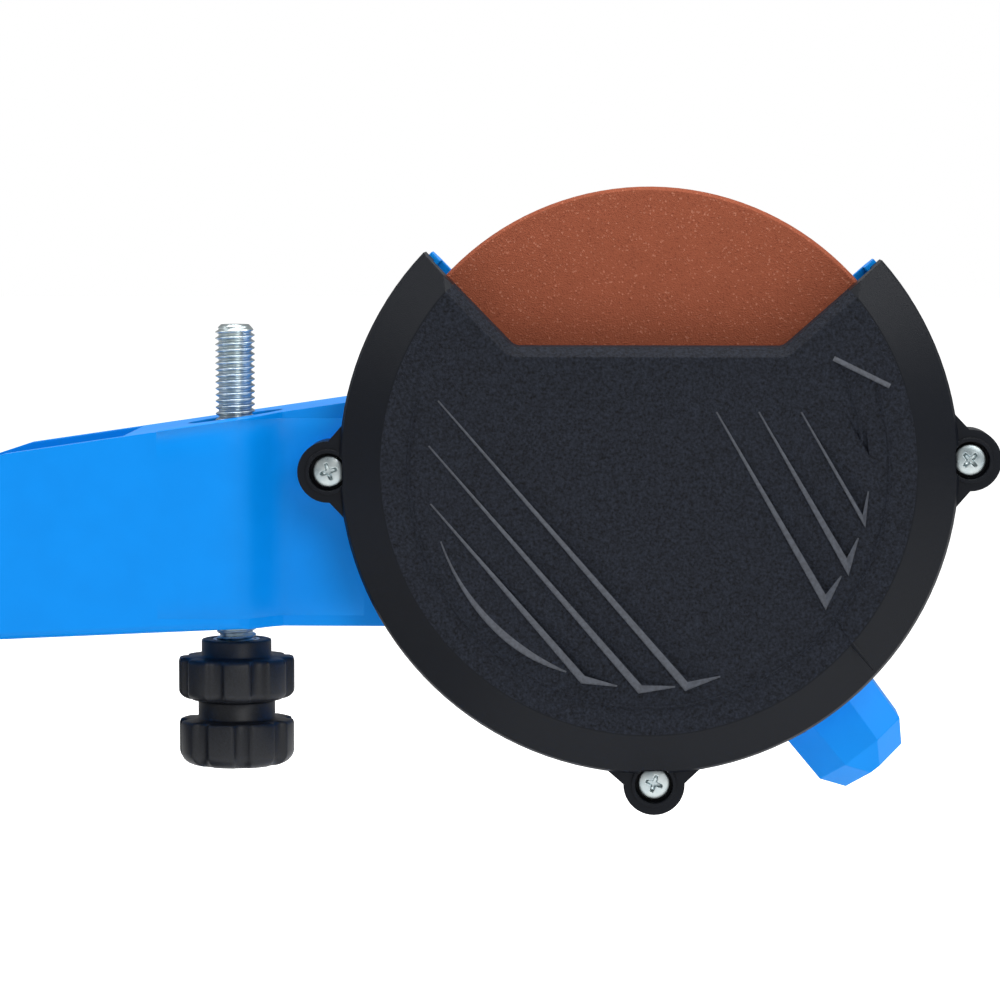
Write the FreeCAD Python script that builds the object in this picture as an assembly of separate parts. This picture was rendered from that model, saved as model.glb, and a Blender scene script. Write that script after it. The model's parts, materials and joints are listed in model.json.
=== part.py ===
import FreeCAD, Part
import math
import os
from FreeCAD import Vector

os.makedirs("parts", exist_ok=True)

# Electric chain sharpener: a bench base with a swivelling chain vice, and a grinding head on a hinged arm.
# Origin: centre of the four bench holes, on the underside. +Z is up, and the user stands at -X.
# The head is drawn thrown right back over its hinge, so the open side of its wheel cover faces up.
# Head pieces are drawn about the wheel's axis and vice pieces about the swivel axis, then moved into place.

# Places of the main axes
hinge_x = 20.0
hinge_z = 130.0
wheel_reach = 160.0  # hinge axis to wheel axis
wheel_rise = 20.0
wheel_plane = -15.0  # y of the wheel's middle; y 0 is the middle of the arm
bolt_reach = 82.5  # wheel axis to depth bolt

# Clearances
seat_gap = 0.3
run_gap = 0.05
press_gap = 0.02

# Grinding wheel and what clamps it
wheel_r = 54.0
wheel_t = 3.2
wheel_edge = 0.7
wheel_bore_r = 11.1
flange_r = 17.0
flange_t = 3.2
spindle_r = 3.95
wheel_nut_af = 13.0
wheel_nut_t = 4.0
spindle_tip = 1.4

# Wheel cover
cover_r = 60.0
panel_r = 51.7
panel_front = 14.0  # wheel's middle to the panel's face
bevel_depth = 6.0
parting_back = 2.0  # wheel's middle to the plane where cover and guard meet
cover_wall = 2.3
notch_z = 23.3
notch_half = 26.0
notch_left = 45.8
notch_right = 41.4
notch_round = 2.5
notch_chamfer = 1.9
notch_lip = 8.0
boss_reach = 62.2
boss_r = 6.0
boss_turn = 1.2
boss_front = 7.0  # wheel's middle to the boss's face
boss_blend = 4.0
ring_r = 4.4
ring_h = 0.5
recess_r = 3.7
recess_depth = 2.8
groove_r = 42.4
groove_depth = 0.8
groove_pitch = 7.1
left_slope = 48.8
left_first = 21.8
left_count = 3
left_return = 9.0
right_slope = 59.7
right_first = 16.8
right_count = 4
right_return = 7.5
right_top = 11.0

# Cover screws
screw_r = 1.45
screw_head_r = 2.9
screw_head_h = 1.9
screw_len = 14.0
cross_w = 0.8
cross_l = 3.2
cross_depth = 1.0

# Rear guard dish
dish_r = 59.2
dish_wall = 2.5
dish_depth = 6.0  # parting plane to the inside of the back plate
dish_round = 2.0
dish_proud = 0.7  # how far it reaches into the notch past the cover

# Arm
arm_half = 19.0
arm_front_step = 8.0
step_start = 80.0  # left of the wheel's axis
step_end = 72.0
arm_top_far = 1.8
arm_top_near = 11.4
arm_low_far = 34.8
arm_low_near = 32.6
arm_far = 126.0
arm_near = 61.0
arm_root = 34.0
arm_wall = 3.0
arm_edge = 1.5
pocket_right = 103.0
knuckle_r = 13.0
knuckle_half = 13.0
slot_half = 9.5
slot_r = 6.5
slot_floor = -21.0

# Hinge
pin_r = 5.0
bush_wall = 2.0
bush_len = 11.0
clip_r = 8.0
clip_t = 1.0
clip_inset = 1.0
cheek_t = 8.0
cheek_r = 12.0

# Depth bolt, its nut, its lock nut and its knob
bolt_r = 3.95
bolt_top = 26.6
bolt_dome = 1.6
bolt_nut_af = 13.0
bolt_nut_t = 6.5
lock_top = -36.45
lock_collar_r = 7.0
lock_collar_h = 3.4
lock_star_r = 11.6
lock_star_h = 8.6
lock_core_r = 6.2
knob_top = -48.6
knob_neck_r = 7.7
knob_neck_h = 3.8
knob_star_r = 11.5
knob_star_h = 9.2
lobe_count = 8
lobe_cut_r = 2.3
star_bevel = 2.0
knob_floor = 2.5

# Motor
barrel_r = 33.0
barrel_wall = 2.5
barrel_end = 60.0
front_wall = 5.0
bearing_r = 11.0
bearing_bore_r = 4.0
bearing_t = 7.0
bearing_y = -1.0
rear_bearing_r = 9.5
rear_bearing_bore_r = 3.0
rear_bearing_t = 6.0
rear_bearing_y = 76.0
seat_wall = 3.0
fan_r = 26.0
fan_y = 6.6
fan_h = 6.4
fan_blades = 9
fan_disc_t = 1.6
stack_y = 20.0
stack_len = 32.0
armature_r = 17.5
air_gap = 0.8
slot_count = 12
stack_slot_w = 2.2
stack_slot_depth = 6.0
coil_end = 6.0
pole_half = 12.0
coil_low = 0.68
coil_slot_w = 6.0
coil_slot_depth = 3.0
coil_over = 4.5
commutator_r = 9.0
commutator_y = 59.5
commutator_len = 9.0
commutator_bars = 12
brush_w = 6.0
brush_reach = 20.0
holder_wall = 1.0
plate_y = 69.5
plate_t = 2.0
plate_hole_r = 12.0
cap_len = 30.0
cap_round = 6.0
vent_count = 10
vent_w = 3.0
vent_in = 15.0
vent_out = 26.0
lug_reach = 35.5
lug_r = 4.8
lug_len = 9.0
lug_screw_r = 1.9
lug_screw_head_r = 3.4
lug_screw_head_h = 2.4
gland_r = 6.5
gland_bore_r = 3.6
gland_out = 13.0
gland_flange_r = 8.5
gland_flange_t = 2.5
gland_y = 78.4

# Handle: along its own line from the wheel's axis, with a front half on the housing and
# a rear half screwed on
handle_angle = -52.0
handle_low = -13.8
handle_high = 9.1
handle_front = -7.0
handle_back = 21.0
handle_split = 7.0
handle_root = 26.0
handle_shoulder = 71.8
handle_end = 76.6
handle_facet = 6.0
handle_taper = 4.4
handle_narrow = 1.4
room_start = 42.0
room_end = 62.0
room_low = -9.0
room_high = 5.0
room_front = -4.0
room_back = 18.0
trigger_start = 45.0
trigger_end = 59.0
trigger_proud = 4.0
trigger_half = 4.5
trigger_flange_t = 3.5
trigger_flange_over = 1.5
trigger_round = 3.0
switch_h = 5.5
tip_screw_d = 67.0
root_screw_d = 38.3
handle_screw_n = -5.0
handle_screw_r = 1.45
handle_screw_head_r = 3.0
handle_screw_head_h = 2.0

# Base casting
plate_half_x = 80.0
plate_half_y = 48.0
plate_corner = 12.0
foot_t = 8.0
bench_half_x = 68.0
bench_half_y = 38.0
bench_hole_r = 3.5
bench_sink_r = 7.0
bench_sink = 2.0
nose_r = 46.0
nose_top = 22.0
nose_t = 8.0
nose_wall = 6.0
nose_mouth = 26.0
nose_overlap = 2.0
riser_half = 27.0
riser_front = 6.0
riser_back = 10.0
brow_rise = 22.0
cheek_foot_front = 62.0
cheek_foot_back = 36.0
cheek_waist = 26.0
cheek_waist_half = 12.8
web_t = 8.0
web_top = 30.0  # below the hinge axis
lug_block_far = 27.0
lug_block_near = 3.0
lug_block_half = 10.0
lug_block_h = 16.0
buffer_t = 3.6
buffer_r = 5.0
buffer_stem_r = 2.0
buffer_stem = 5.0
buffer_out = 21.5
pad_r = 8.0
pad_t = 5.0
pad_stem_r = 3.0
pad_stem = 8.0
pillar_half = 11.0
pillar_draft = 4.0
gusset_half = 4.0

# Vice
table_r = 38.0
table_t = 6.0
pointer_len = 4.0
pointer_half = 2.5
scale_in = 39.5
scale_out = 45.0
scale_t = 1.0
scale_half_angle = 50.0
swivel_r = 3.95
swivel_head_r = 7.0
swivel_head_h = 4.0
swivel_washer_r = 9.0
swivel_washer_t = 1.6
swivel_knob_r = 14.0
swivel_knob_h = 9.0
jaw_gap = 1.6
rail_half = 42.0
rail_t = 6.0
rail_top = 49.0
rail_bevel = 2.5
rail_foot = 16.0
rail_foot_t = 3.0
rail_screw_v = 30.0
rail_screw_u = 13.0
rail_screw_r = 2.0
rail_screw_head_r = 3.6
rail_screw_head_h = 2.4
guide_r = 2.5
guide_v = 26.0
guide_z = 37.0
guide_out = 3.5
stud_r = 3.0
stud_head_r = 5.4
tongue_half = 2.2
stud_head_h = 3.0
eye_r = 4.6
eye_t = 4.0
cam_pin = 15.0
cam_offset = 2.0
cam_phase = 30.0  # degrees before the cam's highest point
cam_half = 5.5
lever_pin_r = 2.0
lever_len = 46.0
lever_w = 10.0
lever_t = 7.0
lever_open_r = 10.0
stop_u = 13.5
stop_z = 54.0
stop_v = 16.0
stop_len = 9.5
stop_half = 5.5
stop_screw_r = 2.45
stop_screw_front = 4.5
stop_screw_back = 50.0
pawl_v = 5.0
pawl_t = 6.0
pawl_eye_r = 5.0
pawl_tip = 2.5
pawl_drop = 3.5
collar_r = 4.5
collar_t = 1.5
stop_knob_r = 8.0
stop_knob_h = 9.0
stop_knob_v = 39.0

# Worked out from the values above
wheel_x = hinge_x + wheel_reach
wheel_z = hinge_z + wheel_rise
vice_x = hinge_x - wheel_reach
hinge_dx = -wheel_reach
hinge_dz = -wheel_rise
wheel_front = wheel_plane - wheel_t / 2
wheel_back = wheel_plane + wheel_t / 2
panel_y = wheel_plane - panel_front
parting_y = wheel_plane + parting_back
dish_floor = parting_y + dish_depth
dish_back = dish_floor + dish_wall
boss_y = wheel_plane - boss_front
boss_angles = [180 + boss_turn, boss_turn, boss_turn - 90]
arm_slope = (arm_top_near - arm_top_far) / (arm_far - arm_near)
shaft_end = rear_bearing_y + rear_bearing_t
barrel_in = barrel_r - barrel_wall
flange_back = wheel_back + flange_t + 1.0
table_z = nose_top + seat_gap
rail_z = table_z + table_t
pad_top = hinge_z - wheel_rise - bolt_top - seat_gap
y_axis = Vector(0, 1, 0)
z_axis = Vector(0, 0, 1)


def write(shape, name, move=(0, 0, 0)):
    placed = shape.copy()
    placed.translate(Vector(*move))
    if not placed.isValid():
        print("not valid:", name)
    placed.exportStep(os.path.join("parts", name + ".step"))


def write_head(shape, name):
    write(shape, name, (wheel_x, 0, wheel_z))


def write_vice(shape, name):
    write(shape, name, (vice_x, wheel_plane, 0))


def joined(shapes):
    return shapes[0].fuse(shapes[1:]).removeSplitter()


def group(solids):
    return Part.makeCompound(solids)


def along_y(r, y0, y1, x=0.0, z=0.0):
    return Part.makeCylinder(r, y1 - y0, Vector(x, y0, z), y_axis)


def along_z(r, z0, z1, x=0.0, y=0.0):
    return Part.makeCylinder(r, z1 - z0, Vector(x, y, z0), z_axis)


def along_x(r, x0, x1, y=0.0, z=0.0):
    return Part.makeCylinder(r, x1 - x0, Vector(x0, y, z), Vector(1, 0, 0))


def block(x0, x1, y0, y1, z0, z1):
    return Part.makeBox(x1 - x0, y1 - y0, z1 - z0, Vector(x0, y0, z0))


def face_of(points):
    return Part.Face(Part.makePolygon(list(points) + [points[0]]))


def turned_y(outline):
    """outline holds (radius, y) points of a closed half section."""
    flat = face_of([Vector(r, y, 0) for r, y in outline])
    return flat.revolve(Vector(0, 0, 0), y_axis, 360)


def turned_z(outline, x=0.0, y=0.0):
    """outline holds (radius, z) points of a closed half section."""
    flat = face_of([Vector(r, 0, z) for r, z in outline])
    solid = flat.revolve(Vector(0, 0, 0), z_axis, 360)
    solid.translate(Vector(x, y, 0))
    return solid


def prism_y(outline, y0, y1):
    return face_of([Vector(x, y0, z) for x, z in outline]).extrude(Vector(0, y1 - y0, 0))


def prism_z(outline, z0, z1):
    return face_of([Vector(x, y, z0) for x, y in outline]).extrude(Vector(0, 0, z1 - z0))


def hexagon(across, z0, z1, x=0.0, y=0.0):
    r = across / 2 / math.cos(math.radians(30))
    turns = [math.radians(60 * k) for k in range(6)]
    return prism_z([(x + r * math.cos(a), y + r * math.sin(a)) for a in turns], z0, z1)


def to_y(shape):
    """Lays a piece drawn along +Z down along +Y."""
    laid = shape.copy()
    laid.rotate(Vector(0, 0, 0), Vector(1, 0, 0), -90)
    return laid


def turned_about_y(shape, degrees):
    """Turns a piece about the wheel's axis, anticlockwise as seen from the front."""
    turned = shape.copy()
    turned.rotate(Vector(0, 0, 0), y_axis, -degrees)
    return turned


def star(r, z0, z1, bevel, cut_r=lobe_cut_r, count=lobe_count):
    """A knob's lobed ring: a bevelled disc with scallops cut out of its edge."""
    low, high = z0 + bevel, z1 - bevel / 2
    disc = turned_z([(0, z0), (r - bevel, z0), (r, low), (r, high), (r - bevel / 2, z1), (0, z1)])
    scallops = []
    for k in range(count):
        a = math.radians(360 * k / count)
        reach = r + cut_r * 0.35
        scallops.append(along_z(cut_r, z0 - 1, z1 + 1, reach * math.cos(a), reach * math.sin(a)))
    return disc.cut(scallops)


# Wheel and spindle

def grinding_wheel():
    e = wheel_edge
    rim = [(wheel_r - e, wheel_front), (wheel_r, wheel_front + e),
           (wheel_r, wheel_back - e), (wheel_r - e, wheel_back)]
    return turned_y([(wheel_bore_r, wheel_front)] + rim + [(wheel_bore_r, wheel_back)])


def inner_flange():
    spigot = wheel_bore_r - run_gap
    hub = spindle_r + press_gap
    outline = [
        (hub, flange_back),
        (flange_r, flange_back),
        (flange_r, wheel_back),
        (spigot, wheel_back),
        (spigot, wheel_front + wheel_edge),
        (hub, wheel_front + wheel_edge),
    ]
    return turned_y(outline)


def outer_flange():
    hub = spindle_r + press_gap
    face = wheel_front - flange_t
    step = flange_r * 0.7
    outline = [
        (hub, wheel_front),
        (flange_r, wheel_front),
        (flange_r, wheel_front - flange_t / 2),
        (step, face),
        (hub, face),
    ]
    return turned_y(outline)


def wheel_nut():
    y1 = wheel_front - flange_t
    nut = to_y(hexagon(wheel_nut_af, y1 - wheel_nut_t, y1))
    return nut.cut(along_y(spindle_r + press_gap, y1 - wheel_nut_t - 1, y1 + 1))


def rotor_shaft():
    tip = wheel_front - flange_t - wheel_nut_t - spindle_tip
    collar_r_here = bearing_bore_r + 2.0
    outline = [
        (0, tip),
        (spindle_r - 0.8, tip),
        (spindle_r, tip + 0.8),
        (spindle_r, flange_back),
        (collar_r_here, flange_back),
        (collar_r_here, bearing_y),
        (bearing_bore_r - run_gap, bearing_y),
        (bearing_bore_r - run_gap, rear_bearing_y - 1),
        (rear_bearing_bore_r - run_gap, rear_bearing_y - 1),
        (rear_bearing_bore_r - run_gap, shaft_end),
        (0, shaft_end),
    ]
    return turned_y(outline)


def fan():
    disc = along_y(fan_r, fan_y, fan_y + fan_disc_t)
    hub = along_y(bearing_bore_r + 4, fan_y, fan_y + fan_h)
    blades = []
    for k in range(fan_blades):
        blade = block(bearing_bore_r + 3, fan_r - 0.5, fan_y, fan_y + fan_h, -0.8, 0.8)
        blade.rotate(Vector(bearing_bore_r + 3, 0, 0), y_axis, 28)
        blades.append(turned_about_y(blade, 360 * k / fan_blades))
    wheel = joined([disc, hub] + blades)
    bore = along_y(bearing_bore_r, fan_y - 1, fan_y + fan_h + 1)
    return wheel.cut(bore).common(along_y(fan_r, 0, barrel_end))


def armature():
    stack = along_y(armature_r, stack_y, stack_y + stack_len)
    stack = stack.cut(along_y(bearing_bore_r, stack_y - 1, stack_y + stack_len + 1))
    slots = []
    for k in range(slot_count):
        slot = block(armature_r - stack_slot_depth, armature_r + 1, stack_y - 1, stack_y + stack_len + 1,
                     -stack_slot_w / 2, stack_slot_w / 2)
        slots.append(turned_about_y(slot, 360 * k / slot_count))
    return stack.cut(slots)


def armature_coils():
    low = armature_r - stack_slot_depth
    high = armature_r - 1.0
    inner = bearing_bore_r + 1
    half = stack_slot_w / 2 - 0.1
    ends = []
    for y0 in (stack_y - coil_end, stack_y + stack_len):
        y1 = y0 + coil_end - 0.01
        ends.append(turned_y([(inner, y0), (high - 2, y0), (high, y0 + 2), (high, y1), (inner, y1)]))
    bars = []
    for k in range(slot_count):
        bar = block(low + 0.2, high, stack_y - 1, stack_y + stack_len + 1, -half, half)
        bars.append(turned_about_y(bar, 360 * k / slot_count))
    return joined(ends + bars)


def commutator():
    ring = along_y(commutator_r, commutator_y, commutator_y + commutator_len)
    ring = ring.cut(along_y(bearing_bore_r, commutator_y - 1, commutator_y + commutator_len + 1))
    cuts = []
    for k in range(commutator_bars):
        cut = block(commutator_r - 1, commutator_r + 1, commutator_y - 1,
                    commutator_y + commutator_len - 1, -0.25, 0.25)
        cuts.append(turned_about_y(cut, 360 * (k + 0.5) / commutator_bars))
    return ring.cut(cuts)


def ball_bearing(r, bore_r, y0, t):
    race = (r - bore_r) * 0.3
    outer = along_y(r, y0, y0 + t).cut(along_y(r - race, y0 - 1, y0 + t + 1))
    inner = along_y(bore_r + race, y0, y0 + t).cut(along_y(bore_r, y0 - 1, y0 + t + 1))
    shield = along_y(r - race, y0 + 0.6, y0 + t - 0.6).cut(along_y(bore_r + race, y0 - 1, y0 + t + 1))
    return joined([outer, shield, inner])


# Stator and brushes

def pole_slots():
    """The two slots beside each pole, where the field coils lie."""
    low = armature_r * coil_low
    high = armature_r + air_gap + coil_slot_depth
    slots = []
    for side in (-1, 1):
        for up in (-1, 1):
            x0, x1 = sorted((side * pole_half, side * (pole_half + coil_slot_w)))
            z0, z1 = sorted((up * low, up * high))
            slots.append(block(x0, x1, stack_y - 1, stack_y + stack_len + 1, z0, z1))
    return slots


def stator():
    ring = along_y(barrel_in - seat_gap, stack_y, stack_y + stack_len)
    bore = along_y(armature_r + air_gap, stack_y - 1, stack_y + stack_len + 1)
    return ring.cut([bore] + pole_slots())


def field_coils():
    """Each coil is a flat loop round its pole, with its long sides in the slots."""
    coils = []
    g = seat_gap
    bore = armature_r + air_gap
    shell = along_y(barrel_in - 1, 0, barrel_end).cut(along_y(bore + g, 0, barrel_end))
    wide = pole_half + coil_slot_w - g
    for up in (-1, 1):
        z0, z1 = sorted((up * (armature_r * coil_low + g), up * (bore + coil_slot_depth - g)))
        out = block(-wide, wide, stack_y - coil_over, stack_y + stack_len + coil_over, z0, z1)
        core = block(-pole_half - g, pole_half + g, stack_y - g, stack_y + stack_len + g,
                     z0 - bore, z1 + bore)
        coils.append(out.cut(core).common(shell))
    return group(coils)


def brush_plate():
    ring = along_y(barrel_in - seat_gap, plate_y, plate_y + plate_t)
    return ring.cut(along_y(plate_hole_r, plate_y - 1, plate_y + plate_t + 1))


def brush_side(side, x0, x1, w, y0, y1):
    a, b = sorted((side * x0, side * x1))
    return block(a, b, y0, y1, -w / 2, w / 2)


def brush_holders():
    out_w = brush_w + 2 * holder_wall
    start = commutator_r + 1.5
    holders = []
    for side in (-1, 1):
        shell = brush_side(side, start, brush_reach + 3, out_w, plate_y - out_w, plate_y)
        room = brush_side(side, start - 1, brush_reach + 2, brush_w + 2 * run_gap,
                          plate_y - out_w + holder_wall - run_gap, plate_y - holder_wall + run_gap)
        holders.append(shell.cut(room))
    return group(holders)


def carbon_brushes():
    y1 = plate_y - holder_wall
    near = commutator_r + run_gap
    return group([brush_side(s, near, brush_reach, brush_w, y1 - brush_w, y1) for s in (-1, 1)])


# Handle, drawn along +X with its width on Z, then turned to its angle

def handle_section(along, shrink):
    f = handle_facet
    low = handle_low + shrink
    high = handle_high - shrink
    front = handle_front + shrink
    back = handle_back - shrink
    corners = [
        (front + f, low), (back - f, low), (back, low + f), (back, high - f),
        (back - f, high), (front + f, high), (front, high - f), (front, low + f),
    ]
    points = [Vector(along, y, z) for y, z in corners]
    return Part.makePolygon(points + [points[0]])


def handle_form():
    stations = [handle_section(handle_root, 0.0), handle_section(handle_shoulder, handle_narrow),
                handle_section(handle_end, handle_taper)]
    return Part.makeLoft(stations, True, True)


def at_handle(shape):
    return turned_about_y(shape, handle_angle)


def handle_room():
    room = block(room_start, room_end, room_front, room_back, room_low, room_high)
    middle = handle_split
    g = seat_gap
    mouth = block(trigger_start - g, trigger_end + g, middle - trigger_half - g, middle + trigger_half + g,
                  room_high - 1, handle_high + 5)
    return room.fuse(mouth)


def handle_screw_places():
    return [(tip_screw_d, handle_screw_n + 2.5), (root_screw_d, handle_screw_n)]


def handle_cover():
    rear = handle_form().common(block(0, 200, handle_split, 60, -60, 60))
    cuts = [handle_room(), along_y(barrel_r + seat_gap, -60, 60)]
    for d, n in handle_screw_places():
        cuts.append(along_y(handle_screw_r + run_gap, 0, 60, d, n))
        cuts.append(along_y(handle_screw_head_r + seat_gap, handle_back - handle_screw_head_h - 1, 60, d, n))
    return at_handle(rear.cut(cuts))


def handle_screws():
    screws = []
    seat = handle_back - handle_screw_head_h - 1
    for d, n in handle_screw_places():
        screws.append(cross_screw(handle_screw_r, handle_screw_head_r, handle_screw_head_h,
                                  handle_screw_head_h + 16.0, (d, seat, n), 1))
    return at_handle(group(screws))


def trigger():
    middle = handle_split
    y0, y1 = middle - trigger_half, middle + trigger_half
    top = handle_high + trigger_proud
    flange_top = room_high - seat_gap
    stem = block(trigger_start, trigger_end, y0, y1, flange_top - 1, top)
    ends = [e for e in stem.Edges if abs(e.BoundBox.ZMin - top) < 1e-6 and abs(e.BoundBox.ZMax - top) < 1e-6
            and e.BoundBox.YLength > 1]
    stem = stem.makeFillet(trigger_round, ends)
    over = trigger_flange_over
    flange = block(trigger_start - over, trigger_end + over, y0 - over, y1 + over,
                   flange_top - trigger_flange_t, flange_top)
    return at_handle(joined([stem, flange]))


def switch_body():
    g = seat_gap
    low = room_low + g
    case = block(room_start + g, room_end - g, room_front + g, room_back - g, low, low + switch_h)
    middle = (trigger_start + trigger_end) / 2
    button = along_z(2.0, low + switch_h, low + switch_h + 1.0, middle, handle_split)
    return at_handle(joined([case, button]))


# Screws with a cross recess, along -Y (toward 1 means the head faces +Y)

def cross_screw(r, head_r, head_h, length, at, toward=-1):
    x, y, z = at
    cap = turned_z([(0, 0), (head_r, 0), (head_r, head_h * 0.45),
                    (head_r * 0.72, head_h * 0.88), (0, head_h)])
    shank = along_z(r, -length, 0.0)
    arms = [block(-cross_l / 2, cross_l / 2, -cross_w / 2, cross_w / 2, head_h - cross_depth, head_h + 1),
            block(-cross_w / 2, cross_w / 2, -cross_l / 2, cross_l / 2, head_h - cross_depth, head_h + 1)]
    screw = joined([cap, shank]).cut(arms)
    screw.rotate(Vector(0, 0, 0), Vector(1, 0, 0), -90 * toward)
    screw.translate(Vector(x, y, z))
    return screw


def boss_spot(angle, reach=boss_reach):
    a = math.radians(angle)
    return reach * math.cos(a), reach * math.sin(a)


def cover_screws():
    seat = boss_y + recess_depth
    screws = []
    for k, angle in enumerate(boss_angles):
        screw = cross_screw(screw_r, screw_head_r, screw_head_h, screw_len, (0, 0, 0))
        screw.rotate(Vector(0, 0, 0), y_axis, 27 * k + 12)
        x, z = boss_spot(angle)
        screw.translate(Vector(x, seat, z))
        screws.append(screw)
    return group(screws)


# Wheel cover

def notch_wire(grow, y):
    """The notch's open V outline with rounded corners; grow widens it."""
    z0 = notch_z - grow
    far = 2 * cover_r
    radius = notch_round + grow
    corners = []
    for side, slope in ((-1, notch_left), (1, notch_right)):
        half = math.radians(slope / 2)
        corner = Vector(side * (notch_half + grow * math.tan(half)), y, z0)
        out = Vector(side * math.cos(2 * half), 0, math.sin(2 * half))
        inward = Vector(-side, 0, 0)
        run = radius * math.tan(half)
        bisector = (out + inward).normalize()
        middle = corner + bisector * (radius / math.cos(half) - radius)
        corners.append((corner + out * far, corner + out * run, middle, corner + inward * run))
    (top_l, a_l, m_l, b_l), (top_r, a_r, m_r, b_r) = corners
    edges = [
        Part.makeLine(top_l, a_l),
        Part.Arc(a_l, m_l, b_l).toShape(),
        Part.makeLine(b_l, b_r),
        Part.Arc(b_r, m_r, a_r).toShape(),
        Part.makeLine(a_r, top_r),
        Part.makeLine(top_r, top_l),
    ]
    return Part.Wire(edges)


def notch_prism(grow, y0, y1):
    return Part.Face(notch_wire(grow, y0)).extrude(Vector(0, y1 - y0, 0))


def boss_block(angle, r, y0, y1):
    """A round screw boss with a web that widens where it joins the rim."""
    post = along_y(r, y0, y1, boss_reach, 0)
    wide = r + boss_blend
    web = prism_y([(cover_r - 8, -wide), (cover_r - 1.6, -wide), (boss_reach, -r * 0.97),
                   (boss_reach, r * 0.97), (cover_r - 1.6, wide), (cover_r - 8, wide)], y0, y1)
    return turned_about_y(post.fuse(web), angle)


def groove(start, end, end_side, y, depth):
    """A louvre cut: no depth at its start, and deepest at its end under the steep wall."""
    lift = Vector(0, -1, 0)
    s, e, f = (Vector(p[0], y, p[1]) for p in (start, end, end_side))
    low = e + (f - e) * 0.14 + (s - e) * 0.02 + Vector(0, depth, 0)
    tops = [s + lift, e + lift, f + lift]
    faces = [face_of(tops), face_of([s, low, f]), face_of([s, e, low]), face_of([e, f, low])]
    for a, b, c, d in ((s, e, tops[1], tops[0]), (e, f, tops[2], tops[1]), (f, s, tops[0], tops[2])):
        faces.append(face_of([a, b, c, d]))
    solid = Part.makeSolid(Part.makeShell(faces))
    if solid.Volume < 0:
        solid.reverse()
    return solid


def on_circle(point, r, degrees):
    a = math.atan2(point[1], point[0]) + math.radians(degrees)
    return r * math.cos(a), r * math.sin(a)


def chord_ends(slope, distance, r):
    """Ends of the chord that falls to the right at this slope, distance from the middle."""
    a = math.radians(slope)
    normal = (math.sin(a), math.cos(a))
    run = (math.cos(a), -math.sin(a))
    half = math.sqrt(r * r - distance * distance)
    middle = (normal[0] * distance, normal[1] * distance)
    return [(middle[0] + s * half * run[0], middle[1] + s * half * run[1]) for s in (-1, 1)]


def panel_grooves():
    cuts = []
    for k in range(left_count):
        start, end = chord_ends(left_slope, -left_first - k * groove_pitch, groove_r)
        cuts.append(groove(start, end, on_circle(end, groove_r, left_return), panel_y, groove_depth))
    for k in range(right_count):
        upper, end = chord_ends(right_slope, right_first + k * (groove_pitch - 0.1), groove_r)
        share = (right_top - end[1]) / (upper[1] - end[1])
        start = (end[0] + (upper[0] - end[0]) * share, right_top)
        cuts.append(groove(start, end, on_circle(end, groove_r, right_return), panel_y, groove_depth))
    return cuts


def wheel_cover():
    rim_y = panel_y + bevel_depth
    wall = cover_wall
    outer = turned_y([(0, panel_y), (panel_r, panel_y), (cover_r - 0.5, rim_y - 0.4), (cover_r, rim_y + 0.6),
                      (cover_r, parting_y), (0, parting_y)])
    bosses = [boss_block(a, boss_r, boss_y, parting_y) for a in boss_angles]
    rings = [along_y(ring_r, boss_y - ring_h, boss_y, *boss_spot(a)) for a in boss_angles]
    body = joined([outer] + bosses + rings)
    inside = turned_y([(0, panel_y + wall), (panel_r - 0.8, panel_y + wall), (cover_r - wall, rim_y + 1.2),
                       (cover_r - wall, parting_y + 1), (0, parting_y + 1)])
    lip = notch_prism(wall, panel_y, panel_y + notch_lip + wall)
    chamfer = Part.makeLoft([notch_wire(notch_chamfer + 0.2, panel_y - 0.2),
                             notch_wire(0, panel_y + notch_chamfer)], True, True)
    holes = []
    for a in boss_angles:
        holes.append(along_y(recess_r, boss_y - ring_h - 1, boss_y + recess_depth, *boss_spot(a)))
        holes.append(along_y(screw_r + run_gap, boss_y, parting_y + 1, *boss_spot(a)))
    body = body.cut(inside.cut(lip))
    body = body.cut([notch_prism(0, panel_y - 5, parting_y + 5), chamfer] + holes)
    return body.cut(panel_grooves())


# Head housing

def arm_top(x):
    return arm_top_near + (x + arm_near) * arm_slope


def arm_form():
    """The side outline pulled across, met with the plan outline pulled up."""
    tail = hinge_dx + knuckle_r + 1
    side = [
        (hinge_dx, hinge_dz - knuckle_r),
        (tail, -arm_low_far - 0.4),
        (-arm_far, -arm_low_far),
        (-step_start, -arm_low_near),
        (-arm_root, -arm_low_near),
        (-arm_root, arm_top(-arm_root)),
        (-arm_far, arm_top_far),
        (tail + 4, -3.5),
        (hinge_dx, hinge_dz + knuckle_r),
    ]
    step = arm_front_step
    mid = (step_start + step_end) / 2
    plan = [
        (hinge_dx - knuckle_r, -knuckle_half),
        (tail, -knuckle_half),
        (tail + 5, -arm_half),
        (-step_start, -arm_half),
        (-mid - 2, -arm_half + step * 0.2),
        (-mid + 2, -arm_half + step * 0.8),
        (-step_end, -arm_half + step),
        (-arm_root, -arm_half + step),
        (-arm_root, arm_half),
        (tail + 5, arm_half),
        (tail, knuckle_half),
        (hinge_dx - knuckle_r, knuckle_half),
    ]
    body = prism_y(side, -arm_half, arm_half).common(prism_z(plan, -60, 40))
    body = body.makeFillet(arm_edge, long_edges(body))
    knuckle = along_y(knuckle_r, -knuckle_half, knuckle_half, hinge_dx, hinge_dz)
    return joined([body, knuckle])


def long_edges(body):
    """The arm's lower front edge, which shows as a soft light line."""
    found = []
    for e in body.Edges:
        b = e.BoundBox
        if b.YMax < -arm_half + 0.01 and b.XLength > 30 and b.ZMax < -30:
            found.append(e)
    return found


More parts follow.
